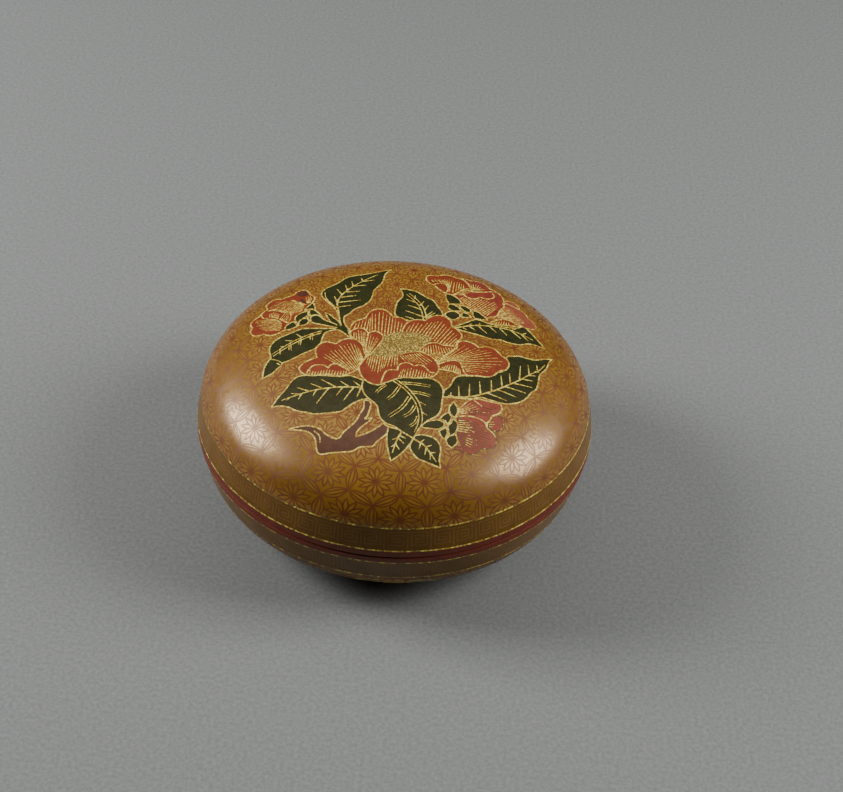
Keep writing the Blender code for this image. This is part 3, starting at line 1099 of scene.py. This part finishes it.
# Small flower at the left, seen from the side, and the stem that joins it to the leaves.
picture += [
    petal([(-27.9, 24.1), (-28.9, 23.2), (-29.6, 21.9)], [(-30.6, 21.5), (-31.7, 21), (-32.5, 20.4)],
          [(-33.4, 20.8), (-34.6, 21), (-36, 20), (-36.8, 18.2), (-36.1, 16.4)],
          [(-37.4, 14.6), (-38, 13.2)], [(-39.2, 12.3), (-40.1, 10.9), (-40, 9.5), (-39.3, 8.3)],
          [(-39.8, 6.8), (-39.3, 5.3), (-38.3, 4.3), (-36.8, 4.1), (-35.7, 4.4)],
          [(-34.8, 3.7), (-33.5, 3.4), (-32.1, 3.9), (-30.5, 5.1)], [(-26, 8), (-24.2, 12), (-24, 17.4)],
          [(-23.5, 19), (-23.8, 20.3), (-24.8, 21.3), (-25.6, 22.9), (-26.3, 24.1)],
          hair=[([(-29, 12), (-27, 13), (-26, 14.4), (-26.2, 16.4)],
                 [(-35.4, 15.4), (-35.9, 16.6), (-35.4, 17.8), (-33.6, 19), (-31.3, 19.4), (-29.2, 19.2)],
                 13, 0.3),
                ([(-33.2, 10.6), (-31.8, 9.2), (-31.2, 7.6), (-31.6, 5.2)],
                 [(-38.4, 11.6), (-38.9, 10.2), (-38.4, 8.6), (-37.4, 6.8), (-35.2, 5.4)], 11, 0.34),
                ([(-35.2, 11.7), (-33.8, 11.3), (-32.6, 10.8)],
                 [(-35.4, 13.6), (-34.4, 14.2), (-33.2, 13.7), (-32.3, 12.6)], 7, 0.3),
                ([(-32.2, 10.4), (-31, 9.6), (-30.1, 8.8)],
                 [(-31.4, 12.9), (-30.3, 13), (-29.6, 11.6), (-29.6, 10)], 5, 0.3),
                ([(-25.4, 17), (-24.5, 17.4)], [(-26.3, 20.2), (-25, 20.6), (-24.2, 19.6)], 4, 0.4)],
          folds=[[(-36.3, 15.7), (-35.3, 15.2), (-34, 15.3), (-32.7, 14.7), (-31.9, 13.6)],
                 [(-31.9, 13.6), (-31.1, 14), (-30, 13.5), (-29.3, 12.4), (-29.2, 11), (-29.3, 9.5),
                  (-29.8, 8.4)],
                 [(-37.6, 14.3), (-37.3, 12.9), (-36.7, 11.9), (-35.5, 11.5)],
                 [(-29.8, 8.4), (-31.3, 9.7), (-32.9, 11), (-34.4, 12)],
                 [(-25.7, 16.4), (-27.6, 17.7), (-29.4, 19)]]),
    shape("branch",
          [(-28.2, 23.2), (-27.1, 23.5), (-26.1, 23.2), (-25.5, 21.8), (-26.3, 20.6), (-27.8, 20.9),
           (-28.7, 22.2)],
          edged=False),
    shape("branch",
          [(-26.7, 19.3), (-26, 18), (-25.7, 16.8), (-26.8, 17.5), (-27.7, 18.4), (-27.6, 19.2)],
          edged=False),
] + sepals(
    ([(-25.4, 14.8), (-23.9, 17.2)], [(-23.3, 16), (-22.8, 13.9)], [(-24.3, 14.4)], [(-25.7, 13.5)]),
    ([(-27.9, 10.8), (-27.1, 12.1), (-26, 12.9), (-24.7, 13.2)], [(-24.6, 11.4)],
     [(-25.7, 10.1), (-26.6, 8.9), (-26.9, 7.9)], [(-27.6, 8.7), (-27.9, 9.6)]),
    ([(-26.7, 8.9), (-25.7, 10), (-24.6, 9.9)], [(-24.1, 8.8), (-24.6, 7.7), (-25.5, 7.1), (-26.8, 6.9)]),
    ([(-30, 7.1), (-28.9, 8.4), (-28.2, 8.8)], [(-27.6, 8), (-27, 6.5)],
     [(-27.9, 6.1), (-28.9, 5.4), (-30.3, 5.4)]),
    ([(-20.1, 12.5)], [(-19, 11.9), (-17.3, 10), (-16.4, 9), (-15.5, 7.3)], [(-16.6, 6.8)],
     [(-18.3, 8.5), (-18.9, 9.6), (-19.6, 11)]),
    ([(-23.9, 10.2), (-23.4, 11.1), (-22.6, 11.5), (-21.7, 11.2), (-20.8, 10.2), (-19.8, 9.2),
      (-18.5, 8.6), (-16.4, 7.2), (-15, 6)],
     [(-16.9, 6.4), (-19.2, 7), (-21.4, 7.6), (-22.8, 8), (-23.6, 8.8)]),
    ([(-24.4, 14)], [(-23.4, 14), (-22.3, 12.9), (-21.3, 11.6), (-20.8, 10.4)],
     [(-21.9, 11.4), (-22.9, 11.7), (-23.9, 11.1)], [(-24.4, 12.4)]),
) + [
    shape("leaves",
          [(-15.15, 8.2), (-14.6, 7), (-13.7, 5.4), (-13.5, 4.2), (-14.7, 4.95), (-15.6, 5.5),
           (-16.9, 5.85), (-16.5, 6.3), (-17.3, 6.9), (-17.4, 7.8), (-16.4, 7.4), (-15.5, 7.05),
           (-15.2, 7.5)],
          lines=[stroke([(-18.5, 11.2), (-18.2, 10), (-17.4, 8.4), (-16.5, 6.9)], 0.34)],
          edged=False),
]

# Flower at the upper right, half open. Its right petals are paler, partly faded and partly painted sheen,
# and their gold is thin.
picture += [
    petal([(27.4, 24.6), (28.4, 26.2), (29.8, 26.6), (31, 25.8), (31.8, 24.2), (31.6, 22.8)], [(29, 22)],
          kind="fading_and_sheen",
          ink="faint"),
    petal([(15.8, 34.6), (17.1, 34.8), (18.2, 34.2)],
          [(19.4, 34.9), (21, 34.8), (22.2, 34), (23, 32.6), (23.6, 31.4)], [(25.1, 31), (25, 30)],
          [(22, 28.6), (18.8, 27.4)], [(17.6, 30.6), (16.6, 33.4)],
          hair=[([(18.2, 28.6), (19, 28.4), (20.4, 28.9)],
                 [(16.9, 33), (18, 32.8), (19.2, 32.4), (20.2, 32.2), (20.8, 31.6), (22.6, 30)], 8,
                 0.42)],
          kind="bud"),
    petal([(27.6, 24), (28.3, 24.6), (29.7, 24.1), (31.2, 23.4), (32.7, 22.7)],
          [(33.6, 21.6), (34.1, 20)], [(35.3, 18.8), (36.3, 17.2), (36.3, 15.5)],
          [(34.9, 14.5), (33.4, 14.3)], [(30, 14.6), (24.4, 15.4)], [(26, 20)],
          hair=[([(26.8, 20.4), (26.2, 18), (25.4, 16.4), (28, 16.4), (30.6, 15.4)],
                 [(28.2, 23.2), (29.8, 21.8), (31, 20), (32.6, 17.6), (33.4, 16)], 13, 0.5)],
          kind="fading_and_sheen",
          ink="faint"),
    petal([(23.6, 13), (24.8, 14.6), (26.4, 15.6), (28, 16.1), (29.6, 15.7), (30.5, 14.8)],
          [(31.4, 15), (32.6, 14.7)], [(30.6, 14), (28.2, 13.4)],
          hair=[([(24, 13.1), (26.6, 13.4), (29, 13.8)],
                 [(24.8, 14.2), (26, 14.8), (27.2, 15.2), (29, 15.2)], 7, 0.42)]),
    petal([(11.6, 24.6), (9.7, 26.2), (8.2, 28.2), (6.6, 29.6), (5.9, 31.2), (6.1, 33.1), (7.4, 33.9),
           (8.9, 33.8)],
          [(9.8, 34.6), (11.3, 35.3), (13, 35.1), (14, 34.4)],
          [(15.4, 34.2), (16.6, 33.3), (17.3, 31.8), (18.4, 28.8)],
          [(16.8, 28.4), (15.6, 27.2), (14.4, 25.4), (13.2, 24.4)],
          hair=[([(7.6, 29.9), (9.6, 30.4), (11.4, 29.8), (12.4, 28), (12.2, 25.6), (13.8, 26),
                  (15.2, 27.6), (16.6, 28.8)],
                 [(7, 31), (8.2, 32), (9.6, 32.4), (11, 32.6), (12.6, 33), (14, 32.6), (15.2, 32),
                  (16.4, 30.6)],
                 14, 0.4)],
          folds=[[(8.3, 28.8), (9.6, 29.7), (11, 29.6), (11.8, 28.4), (12, 26.8), (11.5, 24.9)]]),
    petal([(18.8, 27.4), (21, 27.9), (22.6, 28.8), (24, 29.8), (25.2, 30.1), (26.3, 29.5), (27, 27.9),
           (27.4, 26), (27.2, 24.2), (27.4, 22.4), (26.6, 20.8)],
          [(26, 19.2), (25.6, 17.6), (24.8, 16.5), (23.6, 16)], [(22.8, 15.2)],
          [(20, 17.6), (17, 19.4), (15.5, 21.4), (13.6, 24)], [(14.6, 25.4), (16, 27.4), (17.4, 27.8)],
          hair=[([(15.2, 23), (16.1, 21.9), (17, 20), (19.1, 18.5), (21.4, 17.4), (22.9, 16.4)],
                 [(16, 24.2), (17.2, 23.4), (20.2, 24.2), (23.6, 24.5), (25.8, 23), (25.6, 20.8)], 16,
                 0.42),
                ([(14.6, 24.4), (15.6, 26), (16.8, 27.4)], [(15.8, 24.6), (17, 25.6), (18.2, 26.8)], 6,
                 0.4)],
          folds=[[(16, 25.4), (17, 24.3), (18.5, 23.6), (20, 24.1), (20.7, 25)],
                 [(20.7, 25), (22, 24.9), (23.3, 25), (24.3, 26), (24.8, 27.4), (24.2, 28.7)]],
          kind="bud"),
] + sepals(
    ([(11.7, 24.5), (13.2, 24.1), (14.8, 22.8), (15.6, 21.2), (15.4, 20.2)], [(14, 19.9), (12.4, 20)],
     [(11.7, 21.8), (11.4, 23.4)]),
    ([(12.5, 19.6), (13.9, 19.5), (15.2, 18.4), (15.7, 17)], [(14.2, 16.8), (12.9, 17.1), (12.1, 18.2)]),
    ([(15.2, 19.6), (17, 19.3), (18.3, 18.1), (18.3, 16.9)], [(17.1, 16.8), (16, 17.8)]),
    ([(19, 17.7), (20.3, 17.6), (21.7, 16.1), (22.9, 14.4)], [(21, 14.3), (19.3, 14.6)], [(18.9, 16)]),
    ([(16.1, 16.3), (17.6, 16.1), (18.5, 14.8)], [(17.2, 14.4), (16, 14.4)]),
    ([(11.5, 14.7), (12.3, 16.1), (13.6, 16.6), (15, 16.1), (15.6, 14.8), (14.9, 13.6), (13.4, 12.8),
      (12.3, 13.5)],),
)

# Bud at the lower right, opening. Its gold is rubbed, and its red is paler and pinker than the main
# flower's, partly faded and partly painted sheen.
bud_frame = [(14, -16)], [(30, -16)], [(30, -36)], [(14, -36)]
picture += [
    petal([(18.1, -19.2), (19.3, -17.9), (20.8, -17.4), (23.6, -17.7), (26.9, -17.9)],
          [(27.4, -19.2), (26.9, -20.9), (25.9, -21.8)], [(24.7, -22.7), (24.4, -24.3), (23.7, -25)],
          [(20, -24.6), (16.4, -24)], [(16.4, -21.7)],
          hair=[([(16.6, -22), (16.8, -22.8), (17, -23.4)],
                 [(19.2, -18.8), (20.9, -19.6), (21.6, -20.6), (21.6, -22)], 5, 0.3)],
          folds=[[(20.2, -18.2), (21.2, -18.9), (22.2, -19.8)]],
          kind="bud"),
    petal([(26.9, -22.1), (27.8, -23.6), (27.7, -25.3), (26.6, -27)], [(25, -27), (23.9, -25.6)],
          [(24.7, -22.9)],
          kind="bud",
          ink="rubbed"),
    petal([(17.3, -24), (19.8, -23.7), (21.7, -24), (23, -24.8), (23.7, -25.8), (23.8, -27)],
          [(25.2, -27.3), (26.1, -28.7), (26.4, -30.4), (25.6, -32.1), (23.9, -32.8), (22.7, -33)],
          [(21.7, -34.3), (19.8, -35.2), (18.1, -34.9), (15.9, -34.5)],
          [(16.4, -31), (16.4, -27.5), (16.1, -24.6)],
          hair=[([(16.6, -24.8), (16.8, -28), (16.8, -31), (16.2, -33.9)],
                 [(21.4, -25.2), (23.6, -27.4), (25.4, -29.4), (25.4, -31.4), (23, -33), (19.6, -34.7)],
                 15, 0.46)],
          kind="bud",
          ink="rubbed"),
    shape("lines", *bud_frame,
          edged=False,
          ink="rubbed",
          lines=[stroke([(22.2, -19.8), (23.4, -20.3), (24.8, -20.2), (26.2, -19.4)], 0.36, 0.6)]
                + hairs([(18.8, -21.5), (18.8, -23.2)], [(24.6, -20.8), (23.9, -22.9)], 4, 0.34)),
    shape("lines", *bud_frame,
          edged=False,
          lines=[stroke([(16.2, -24.4), (18, -23.8), (20, -23.7), (21.8, -24.1), (23.2, -25),
                         (23.8, -26.6)],
                        0.38, 0.9),
                 stroke([(23.8, -26.6), (24.6, -27.2), (25.6, -28), (26.1, -28.9)], 0.34, 0.6),
                 stroke([(24.9, -22.6), (24.5, -23.6), (23.8, -25), (23.8, -26.4)], 0.36, 0.8)]
                + hairs([(16.5, -25.2), (16.4, -27.2), (16.3, -29.2)],
                        [(18, -25), (20.3, -27.2), (19.6, -29.4)], 6, 0.44)
                + hairs([(18.6, -30.2), (18.6, -33)], [(20.4, -30.6), (20, -33.6)], 4, 0.4)
                + hairs([(24.3, -24.2), (24.3, -26.4)], [(25.8, -23.8), (25.6, -26.2)], 3, 0.26)),
] + sepals(
    ([(14, -21.2), (15, -19.4)], [(16, -21.4), (16.1, -23), (15.6, -24.8)], [(14.6, -24), (13.9, -22.8)]),
    ([(12.4, -24.5), (13.7, -23.3)], [(14.6, -24.4), (14.5, -25.8), (13.7, -27.4)],
     [(13.1, -26.2), (11.7, -25.8)]),
    ([(16.1, -26.2), (16.3, -28.3), (15.4, -30.2), (14.4, -30.9)],
     [(14, -29), (13.9, -27.7), (14.7, -26.5), (15, -25.2)]),
    ([(13.9, -29.9), (13.2, -32.1)], [(12.2, -31), (11.7, -29.7)], [(12.6, -28.9), (13.3, -28.2)]),
    ([(16.4, -31.4), (16.4, -32.8), (15.1, -34.3)], [(13.9, -33.2), (13.6, -32)],
     [(14.2, -31), (15.9, -30.1)]),
    ([(8, -27.3), (10, -26.5), (11.5, -26.2), (12.9, -26.9), (12.7, -28.2), (11.5, -29.2), (10, -29.2)],
     [(8.4, -29.2), (6.5, -28.8)]),
)

# Leaf at the bottom, under the main flower.
picture.append(leaf(
    [(-8.5, -16), (-8, -18.2), (-7, -20), (-5.5, -21.5), (-4.2, -23), (-3.7, -25.5), (-3, -27.3),
     (-1.5, -28.7), (0.5, -29.5), (2.5, -31), (5.5, -32.8)],
    [(6.3, -30.5), (7.3, -28.5), (9, -26.5), (10.8, -25), (11.8, -23), (12, -20), (12.2, -17), (12, -15),
     (11, -13), (9.3, -11.8)],
    [(5, -11), (0, -11.5), (-8.3, -14)],
    ribs=twin([(-0.3, -13.3), (2.5, -15.8), (4.5, -18.5), (6, -21.5), (6.8, -25), (6.8, -28), (6, -31)],
              0.9),
    veins=twin([(-2.5, -15.2), (-4, -17), (-5, -18.8)], 0.6)
          + twin([(1, -15.5), (-0.2, -18.3), (-1.8, -20.5)], 0.7)
          + twin([(3.8, -19), (2, -23), (-1, -26.3)], 0.8)
          + twin([(5.3, -22), (4.2, -24.6), (2.2, -26.3)], 0.7)
          + twin([(6.2, -25.8), (5.6, -27.8), (4, -29.3)], 0.6)
          + twin([(1.5, -14.1), (5, -14.1), (8.8, -14.6)], 0.7)
          + twin([(4.3, -17.3), (6.6, -17.4), (9, -18.2)], 0.7)
          + [[(5.8, -20.3), (8, -21.5)], [(7, -24), (8.5, -25)]],
    thick=0.36,
    thin=0.32,
))

# Main flower, from its back petals to the front ones.
picture += [
    petal([(-12.7, 8), (-11.8, 9.4), (-10.5, 10.3), (-9.3, 11)],
          [(-9, 12.3), (-8.3, 13.8), (-7, 14.9), (-5.5, 15.2), (-4.3, 14.8), (-3.2, 13.7), (-2.2, 12.3)],
          [(-1.2, 12.1), (0, 12), (1.2, 11.2), (2, 10.4)], [(1.2, 9), (0.8, 7.5), (0.5, 5.2)],
          [(-3, 3), (-8, 2), (-12, 2)], [(-13.2, 4), (-13.1, 6)],
          hair=[([(-12.4, 6.6), (-9.6, 6.4), (-7.4, 5.4), (-4.4, 4.6), (-2.6, 5), (0.4, 6)],
                 [(-12, 8.2), (-10.2, 9.6), (-8.4, 11), (-7.4, 13.4), (-4, 13.4), (-1.6, 11.6),
                  (0.8, 10)],
                 16, 0.42)]),
    petal([(3, 11.3), (4.5, 11.7), (6.5, 11.6)],
          [(7.5, 13), (9, 14), (10.5, 14.2), (12, 13.5), (13.2, 12), (13.4, 10.3)],
          [(14, 9.5), (15.2, 8.5), (16.2, 6.8), (16, 5.2), (15.2, 4), (15, 3), (14.8, 1.8)],
          [(9, 0.5), (1, 4)], [(0.6, 6.2), (1.2, 9), (2, 10.4)],
          hair=[([(1.3, 6.6), (4, 6.4), (7, 5.4), (8.6, 4.2), (9.6, 3), (12, 2.3), (14.4, 2.2)],
                 [(2.2, 9), (4, 10.2), (6.6, 10.4), (8.6, 11), (10.8, 12.4), (12.2, 11), (14, 8.2),
                  (15, 6), (15, 3.6)],
                 17, 0.42)]),
    petal([(14.3, 0.5), (12.6, -1.6), (11.3, -3.4), (10.6, -4.8)], [(9, -3.6), (7.4, -2.2), (5.4, -1)],
          [(6.2, 0.5), (7.3, 1.9), (8.8, 2.6), (10, 2.6), (11.5, 1.9), (13, 1.9), (14.8, 1.8)],
          hair=[([(6, -1.1), (8, -1.6), (10.4, -1.8), (12.4, -1.2), (14.2, 0.4)],
                 [(6.4, 0.2), (7.8, 1.6), (9.4, 1.9), (11.4, 1.1), (13.8, 1.3)], 12, 0.44),
                ([(10.4, -4.4), (11, -3.4), (12, -2)], [(7.4, -1.9), (8.6, -1.5), (10.4, -1.4)], 5,
                 0.4)]),
    petal([(-10.2, 1.2), (-11.5, 1.9), (-13.3, 2), (-15, 1.2), (-16.3, -0.4)],
          [(-18.5, 0.3), (-20, -0.2), (-21, -1.5), (-21.4, -3.3), (-21, -5.3), (-20.8, -6.1)],
          [(-22.5, -7), (-24, -8.3), (-25, -10), (-24.5, -11.5), (-23, -12.7), (-21, -13), (-19, -12.6),
           (-17, -12.4), (-15, -12.9), (-13, -12.3), (-11.5, -11.2), (-10, -10)],
          [(-9.4, -7.5), (-8.2, -4.8)], [(-8.6, -2), (-9.3, 0)],
          hair=[([(-13.4, -9.9), (-11.4, -10.3), (-9.9, -9.4), (-9.4, -7.6), (-8.9, -5.6)],
                 [(-19.6, -6), (-19, -4.2), (-17.8, -2.8), (-16.4, -1.6), (-14.6, -0.1), (-12.4, 0.3),
                  (-10.8, -0.6), (-9.7, -3)],
                 14, 0.4),
                ([(-23.2, -11.9), (-21, -12.7), (-18, -12.1), (-15, -12.5), (-12.6, -11.7)],
                 [(-22.9, -10.4), (-20.6, -11.4), (-17.6, -10.7), (-15, -11), (-12.4, -10.6)], 15, 0.5)],
          folds=[[(-22.4, -11), (-21.8, -9.5), (-20.5, -8.9), (-18.7, -9), (-17.5, -10)],
                 [(-17.5, -10), (-17.2, -9), (-16.3, -8.3), (-15, -8.4), (-13.5, -9.5), (-12, -10.8)]]),
    petal([(15.8, 4), (17.5, 4.3), (19.5, 3.5), (20.8, 2.2)],
          [(22, 2.7), (23.5, 2.9), (25, 2.3), (26, 1.2), (26.8, 0)],
          [(28, -0.7), (28.8, -2.3), (28.7, -4), (28, -5.3)],
          [(26.5, -5.9), (25.8, -6.8), (24.7, -8.2), (23, -9), (20.5, -8.9), (18.5, -9.2), (16.5, -9.3)],
          [(13.5, -8), (10.6, -7.2), (10.5, -5.5)], [(12.4, -2), (14.9, 0.8), (15.2, 3.3)],
          hair=[([(10.9, -4.9), (12.2, -4.1), (14.4, -3.4), (16.2, -4.2), (17.1, -6), (17.8, -7.9)],
                 [(15.3, 2.4), (17, 2.9), (18.6, 1.8), (20.6, 1.5), (23, 1.3), (25, 0.3), (26.5, -1.3),
                  (26.8, -3), (26, -4.6), (24.4, -5.8), (23.4, -7.3), (20.6, -8.2)],
                 16, 0.3)]),
    petal([(12.2, -4.7), (13.5, -4), (15, -3.8), (16.2, -4.6), (16.7, -6), (17.2, -8), (18, -9)],
          [(16.5, -9.3), (15, -8.3), (13, -8), (10.8, -7.8)], [(10.6, -5.8)],
          hair=[([(10.9, -7.6), (13, -7.9), (15, -8.2), (16.6, -9)],
                 [(11.8, -6.6), (13.2, -5.8), (14.6, -5.6), (16.2, -7)], 9, 0.46)]),
    petal([(-12.9, 4.7), (-12, 6), (-10.5, 6.6), (-9.2, 6.2), (-8.2, 4.6)], [(-8.5, 1), (-8.1, -4.8)],
          [(-8.9, -2.4), (-9.5, 0), (-10.8, 1.4), (-12.6, 3)],
          hair=[([(-12.2, 3), (-10.8, 1.8), (-9.6, 0.6), (-8.8, -1.6)],
                 [(-12.2, 4.4), (-11.2, 5.4), (-9.8, 5.6), (-8.9, 4.6)], 6, 0.38)]),
    petal([(-7.5, 5.4), (-6.3, 5.6), (-5, 5), (-4.3, 3.8), (-4.4, 2.2), (-5.2, 0.3), (-6, -1.5),
           (-7, -3.5), (-7.9, -5)],
          [(-8.5, -1), (-8.2, 4.6)],
          hair=[([(-8.2, -3.8), (-7.6, -4)], [(-7.9, 4), (-6.8, 4.3), (-5.7, 3.8), (-5.2, 2.4)], 4,
                 0.36)]),
    petal([(-9, -7), (-9.7, -9), (-9.4, -11), (-8.5, -13), (-7, -14.6), (-5, -15.4), (-3.8, -15.2)],
          [(-2.3, -14.2), (-0.8, -13.3), (0, -12.7), (2, -12), (4.5, -11.9), (7, -11.6), (8.7, -11.2)],
          [(9.5, -10.6), (10.4, -9.2), (10.7, -7.3), (10.2, -5.3), (8.8, -3.3), (7, -2), (5.3, -1.5)],
          [(3, -1.8), (0, -3), (-6, -3.4)], [(-8.2, -5)],
          hair=[([(-7.9, -5.2), (-5, -4.4), (-2, -4.2), (0.2, -4)],
                 [(-8.2, -7.6), (-6.8, -9.8), (-5.4, -11.4), (-4.4, -11), (-3, -8.6), (-1, -8.4),
                  (0.2, -7)],
                 13, 0.42),
                ([(0.4, -4), (3, -2.8), (5.6, -2)],
                 [(1.8, -6), (3.4, -5.9), (5.4, -6.3), (7.4, -6.8), (8.8, -6.2), (9.2, -4.8)], 9, 0.34),
                ([(0.2, -12.5), (2, -11.9), (4.5, -11.8), (7, -11.5), (9.2, -10.7)],
                 [(1, -9.8), (2.2, -8.2), (3.6, -8.2), (5, -8.6), (6.2, -8.2), (7.6, -9.4), (9.6, -9.9)],
                 13, 0.42)],
          folds=[[(-3.8, -15), (-3.5, -13), (-3.1, -11), (-2.5, -9.8), (-1.5, -9.3), (0.2, -9.3)],
                 [(0.2, -9.3), (0.3, -7.7), (1.2, -6.5), (2.5, -6.2), (3.5, -6.6), (4.3, -7.2)],
                 [(4.3, -7.2), (5.8, -6.7), (7, -7.2), (7.8, -8.3), (8.6, -9.3), (9.8, -9.3)]]),
    shape("stamens", [(-4.3, 2), (-5, 0), (-6.3, -2.5), (-7.5, -4.6)],
          [(-6, -4.3), (-3, -4.2), (0, -3.8), (1.5, -2.8), (3, -1.8), (5, -1.3), (5.8, 0.5), (7, 2),
           (8.5, 3.5)],
          [(8.5, 4.2), (7, 5.5), (5, 6), (3, 6.2), (0.8, 6.2), (-1, 5.8), (-2.5, 5), (-4.2, 4.2)],
          edged=False),
]

LID_FIRST_RING = 54.6
lid_ochre = ochre_lacquer("lid_ochre", dome, first_ring=LID_FIRST_RING, shine=1.92)
rubbed_gold = gold_line("rubbed_gold", 0.33, 0.42, patch=1.1, under=(68, 38, 30), gone=0.985)
# The buds' red is pinker than the main flower's: partly faded lacquer, partly painted sheen.
bud_red = picture_lacquer("bud_red", (150, 70, 56), (124, 47, 36), patch=2.0, shine=1.92)
faint_gold = gold_line("faint_gold", 0.46, 0.62, patch=0.9, under=(168, 106, 70))
# The right petals' red is paler still: partly faded lacquer, partly painted sheen.
fading_and_sheen_red = picture_lacquer("fading_and_sheen_red", (164, 90, 68), (138, 68, 48), patch=2.0, shine=1.92)
inlaid("lid", dome, 0, dome_arc - RING_WIDTH / 2, picture, {
    "dome": (lid_ochre, "ochre_lacquer"), **spray_lacquers,
    "rubbed_gold": (rubbed_gold, "gold_line"), "bud": (bud_red, "red_lacquer"),
    "faint_gold": (faint_gold, "gold_line"), "fading_and_sheen": (fading_and_sheen_red, "red_lacquer"),
})

# Studio.
# A plain pale floor of matt paper, a softbox low on each side, a large weak one overhead and a little
# light from all round. The camera stands in front of the box and looks down on it.
work = bmesh.new()
bmesh.ops.create_grid(work, x_segments=8, y_segments=8, size=4)
floor = piece_of("floor", meshed(work, "floor"))
paper = bpy.data.materials.new("pale_paper")
paper.use_nodes = True
paper_place = Reading(node(paper.node_tree, "TexCoord").outputs["Object"])
mottle = ranged(clouds(paper_place, 1.0, 4.0, 0.75), 0.36, 0.64)
paper_shader = paper.node_tree.nodes["Principled BSDF"]
feed(paper_shader.inputs["Base Color"], blended(mottle, colour(118, 122, 122), colour(138, 141, 141)))
paper_shader.inputs["Roughness"].default_value = 0.9
paper_shader.inputs["Specular IOR Level"].default_value = 0.2
floor.data.materials.append(paper)

world = bpy.data.worlds.new("studio")
world.use_nodes = True
room_light = world.node_tree.nodes["Background"]
room_light.inputs["Color"].default_value = (0.31, 0.31, 0.32, 1)
room_light.inputs["Strength"].default_value = 0.04
bpy.context.scene.world = world


def softbox(name, direction, distance, wide, high, power):
    """A soft light with a flat front that faces the box from this direction, in metres and watts."""
    lamp = bpy.data.lights.new(name, "AREA")
    lamp.shape = "RECTANGLE"
    lamp.size = wide
    lamp.size_y = high
    lamp.energy = power
    lamp.color = (1.0, 0.98, 0.95)
    thing = bpy.data.objects.new(name, lamp)
    bpy.context.scene.collection.objects.link(thing)
    middle = (cad_low + cad_high) / 2
    thing.location = middle + direction.normalized() * distance
    thing.rotation_euler = (middle - thing.location).to_track_quat("-Z", "Y").to_euler()


softbox("left_softbox", Vector((-0.85, 0.125, 0.51)), distance=0.75, wide=0.32, high=0.36, power=6.7)
softbox("right_softbox", Vector((0.84, 0.0, 0.57)), distance=0.75, wide=0.35, high=0.42, power=5.8)
softbox("top_softbox", Vector((0.06, 0.4, 1.0)), distance=1.0, wide=1.7, high=0.7, power=2.6)

CAMERA_PLACE = (0.00675, -0.39135, 0.37650)
CAMERA_ELEVATION = 0.72224
CAMERA_ROLL = 0.06717
camera = bpy.data.cameras.new("camera")
camera.lens = 84.03
camera.sensor_width = 36
camera.sensor_fit = "HORIZONTAL"
viewer = bpy.data.objects.new("camera", camera)
bpy.context.scene.collection.objects.link(viewer)
tilt = Matrix.Rotation(math.pi / 2 - CAMERA_ELEVATION, 4, "X")
viewer.matrix_world = Matrix.Translation(CAMERA_PLACE) @ tilt @ Matrix.Rotation(CAMERA_ROLL, 4, "Z")
bpy.context.scene.camera = viewer
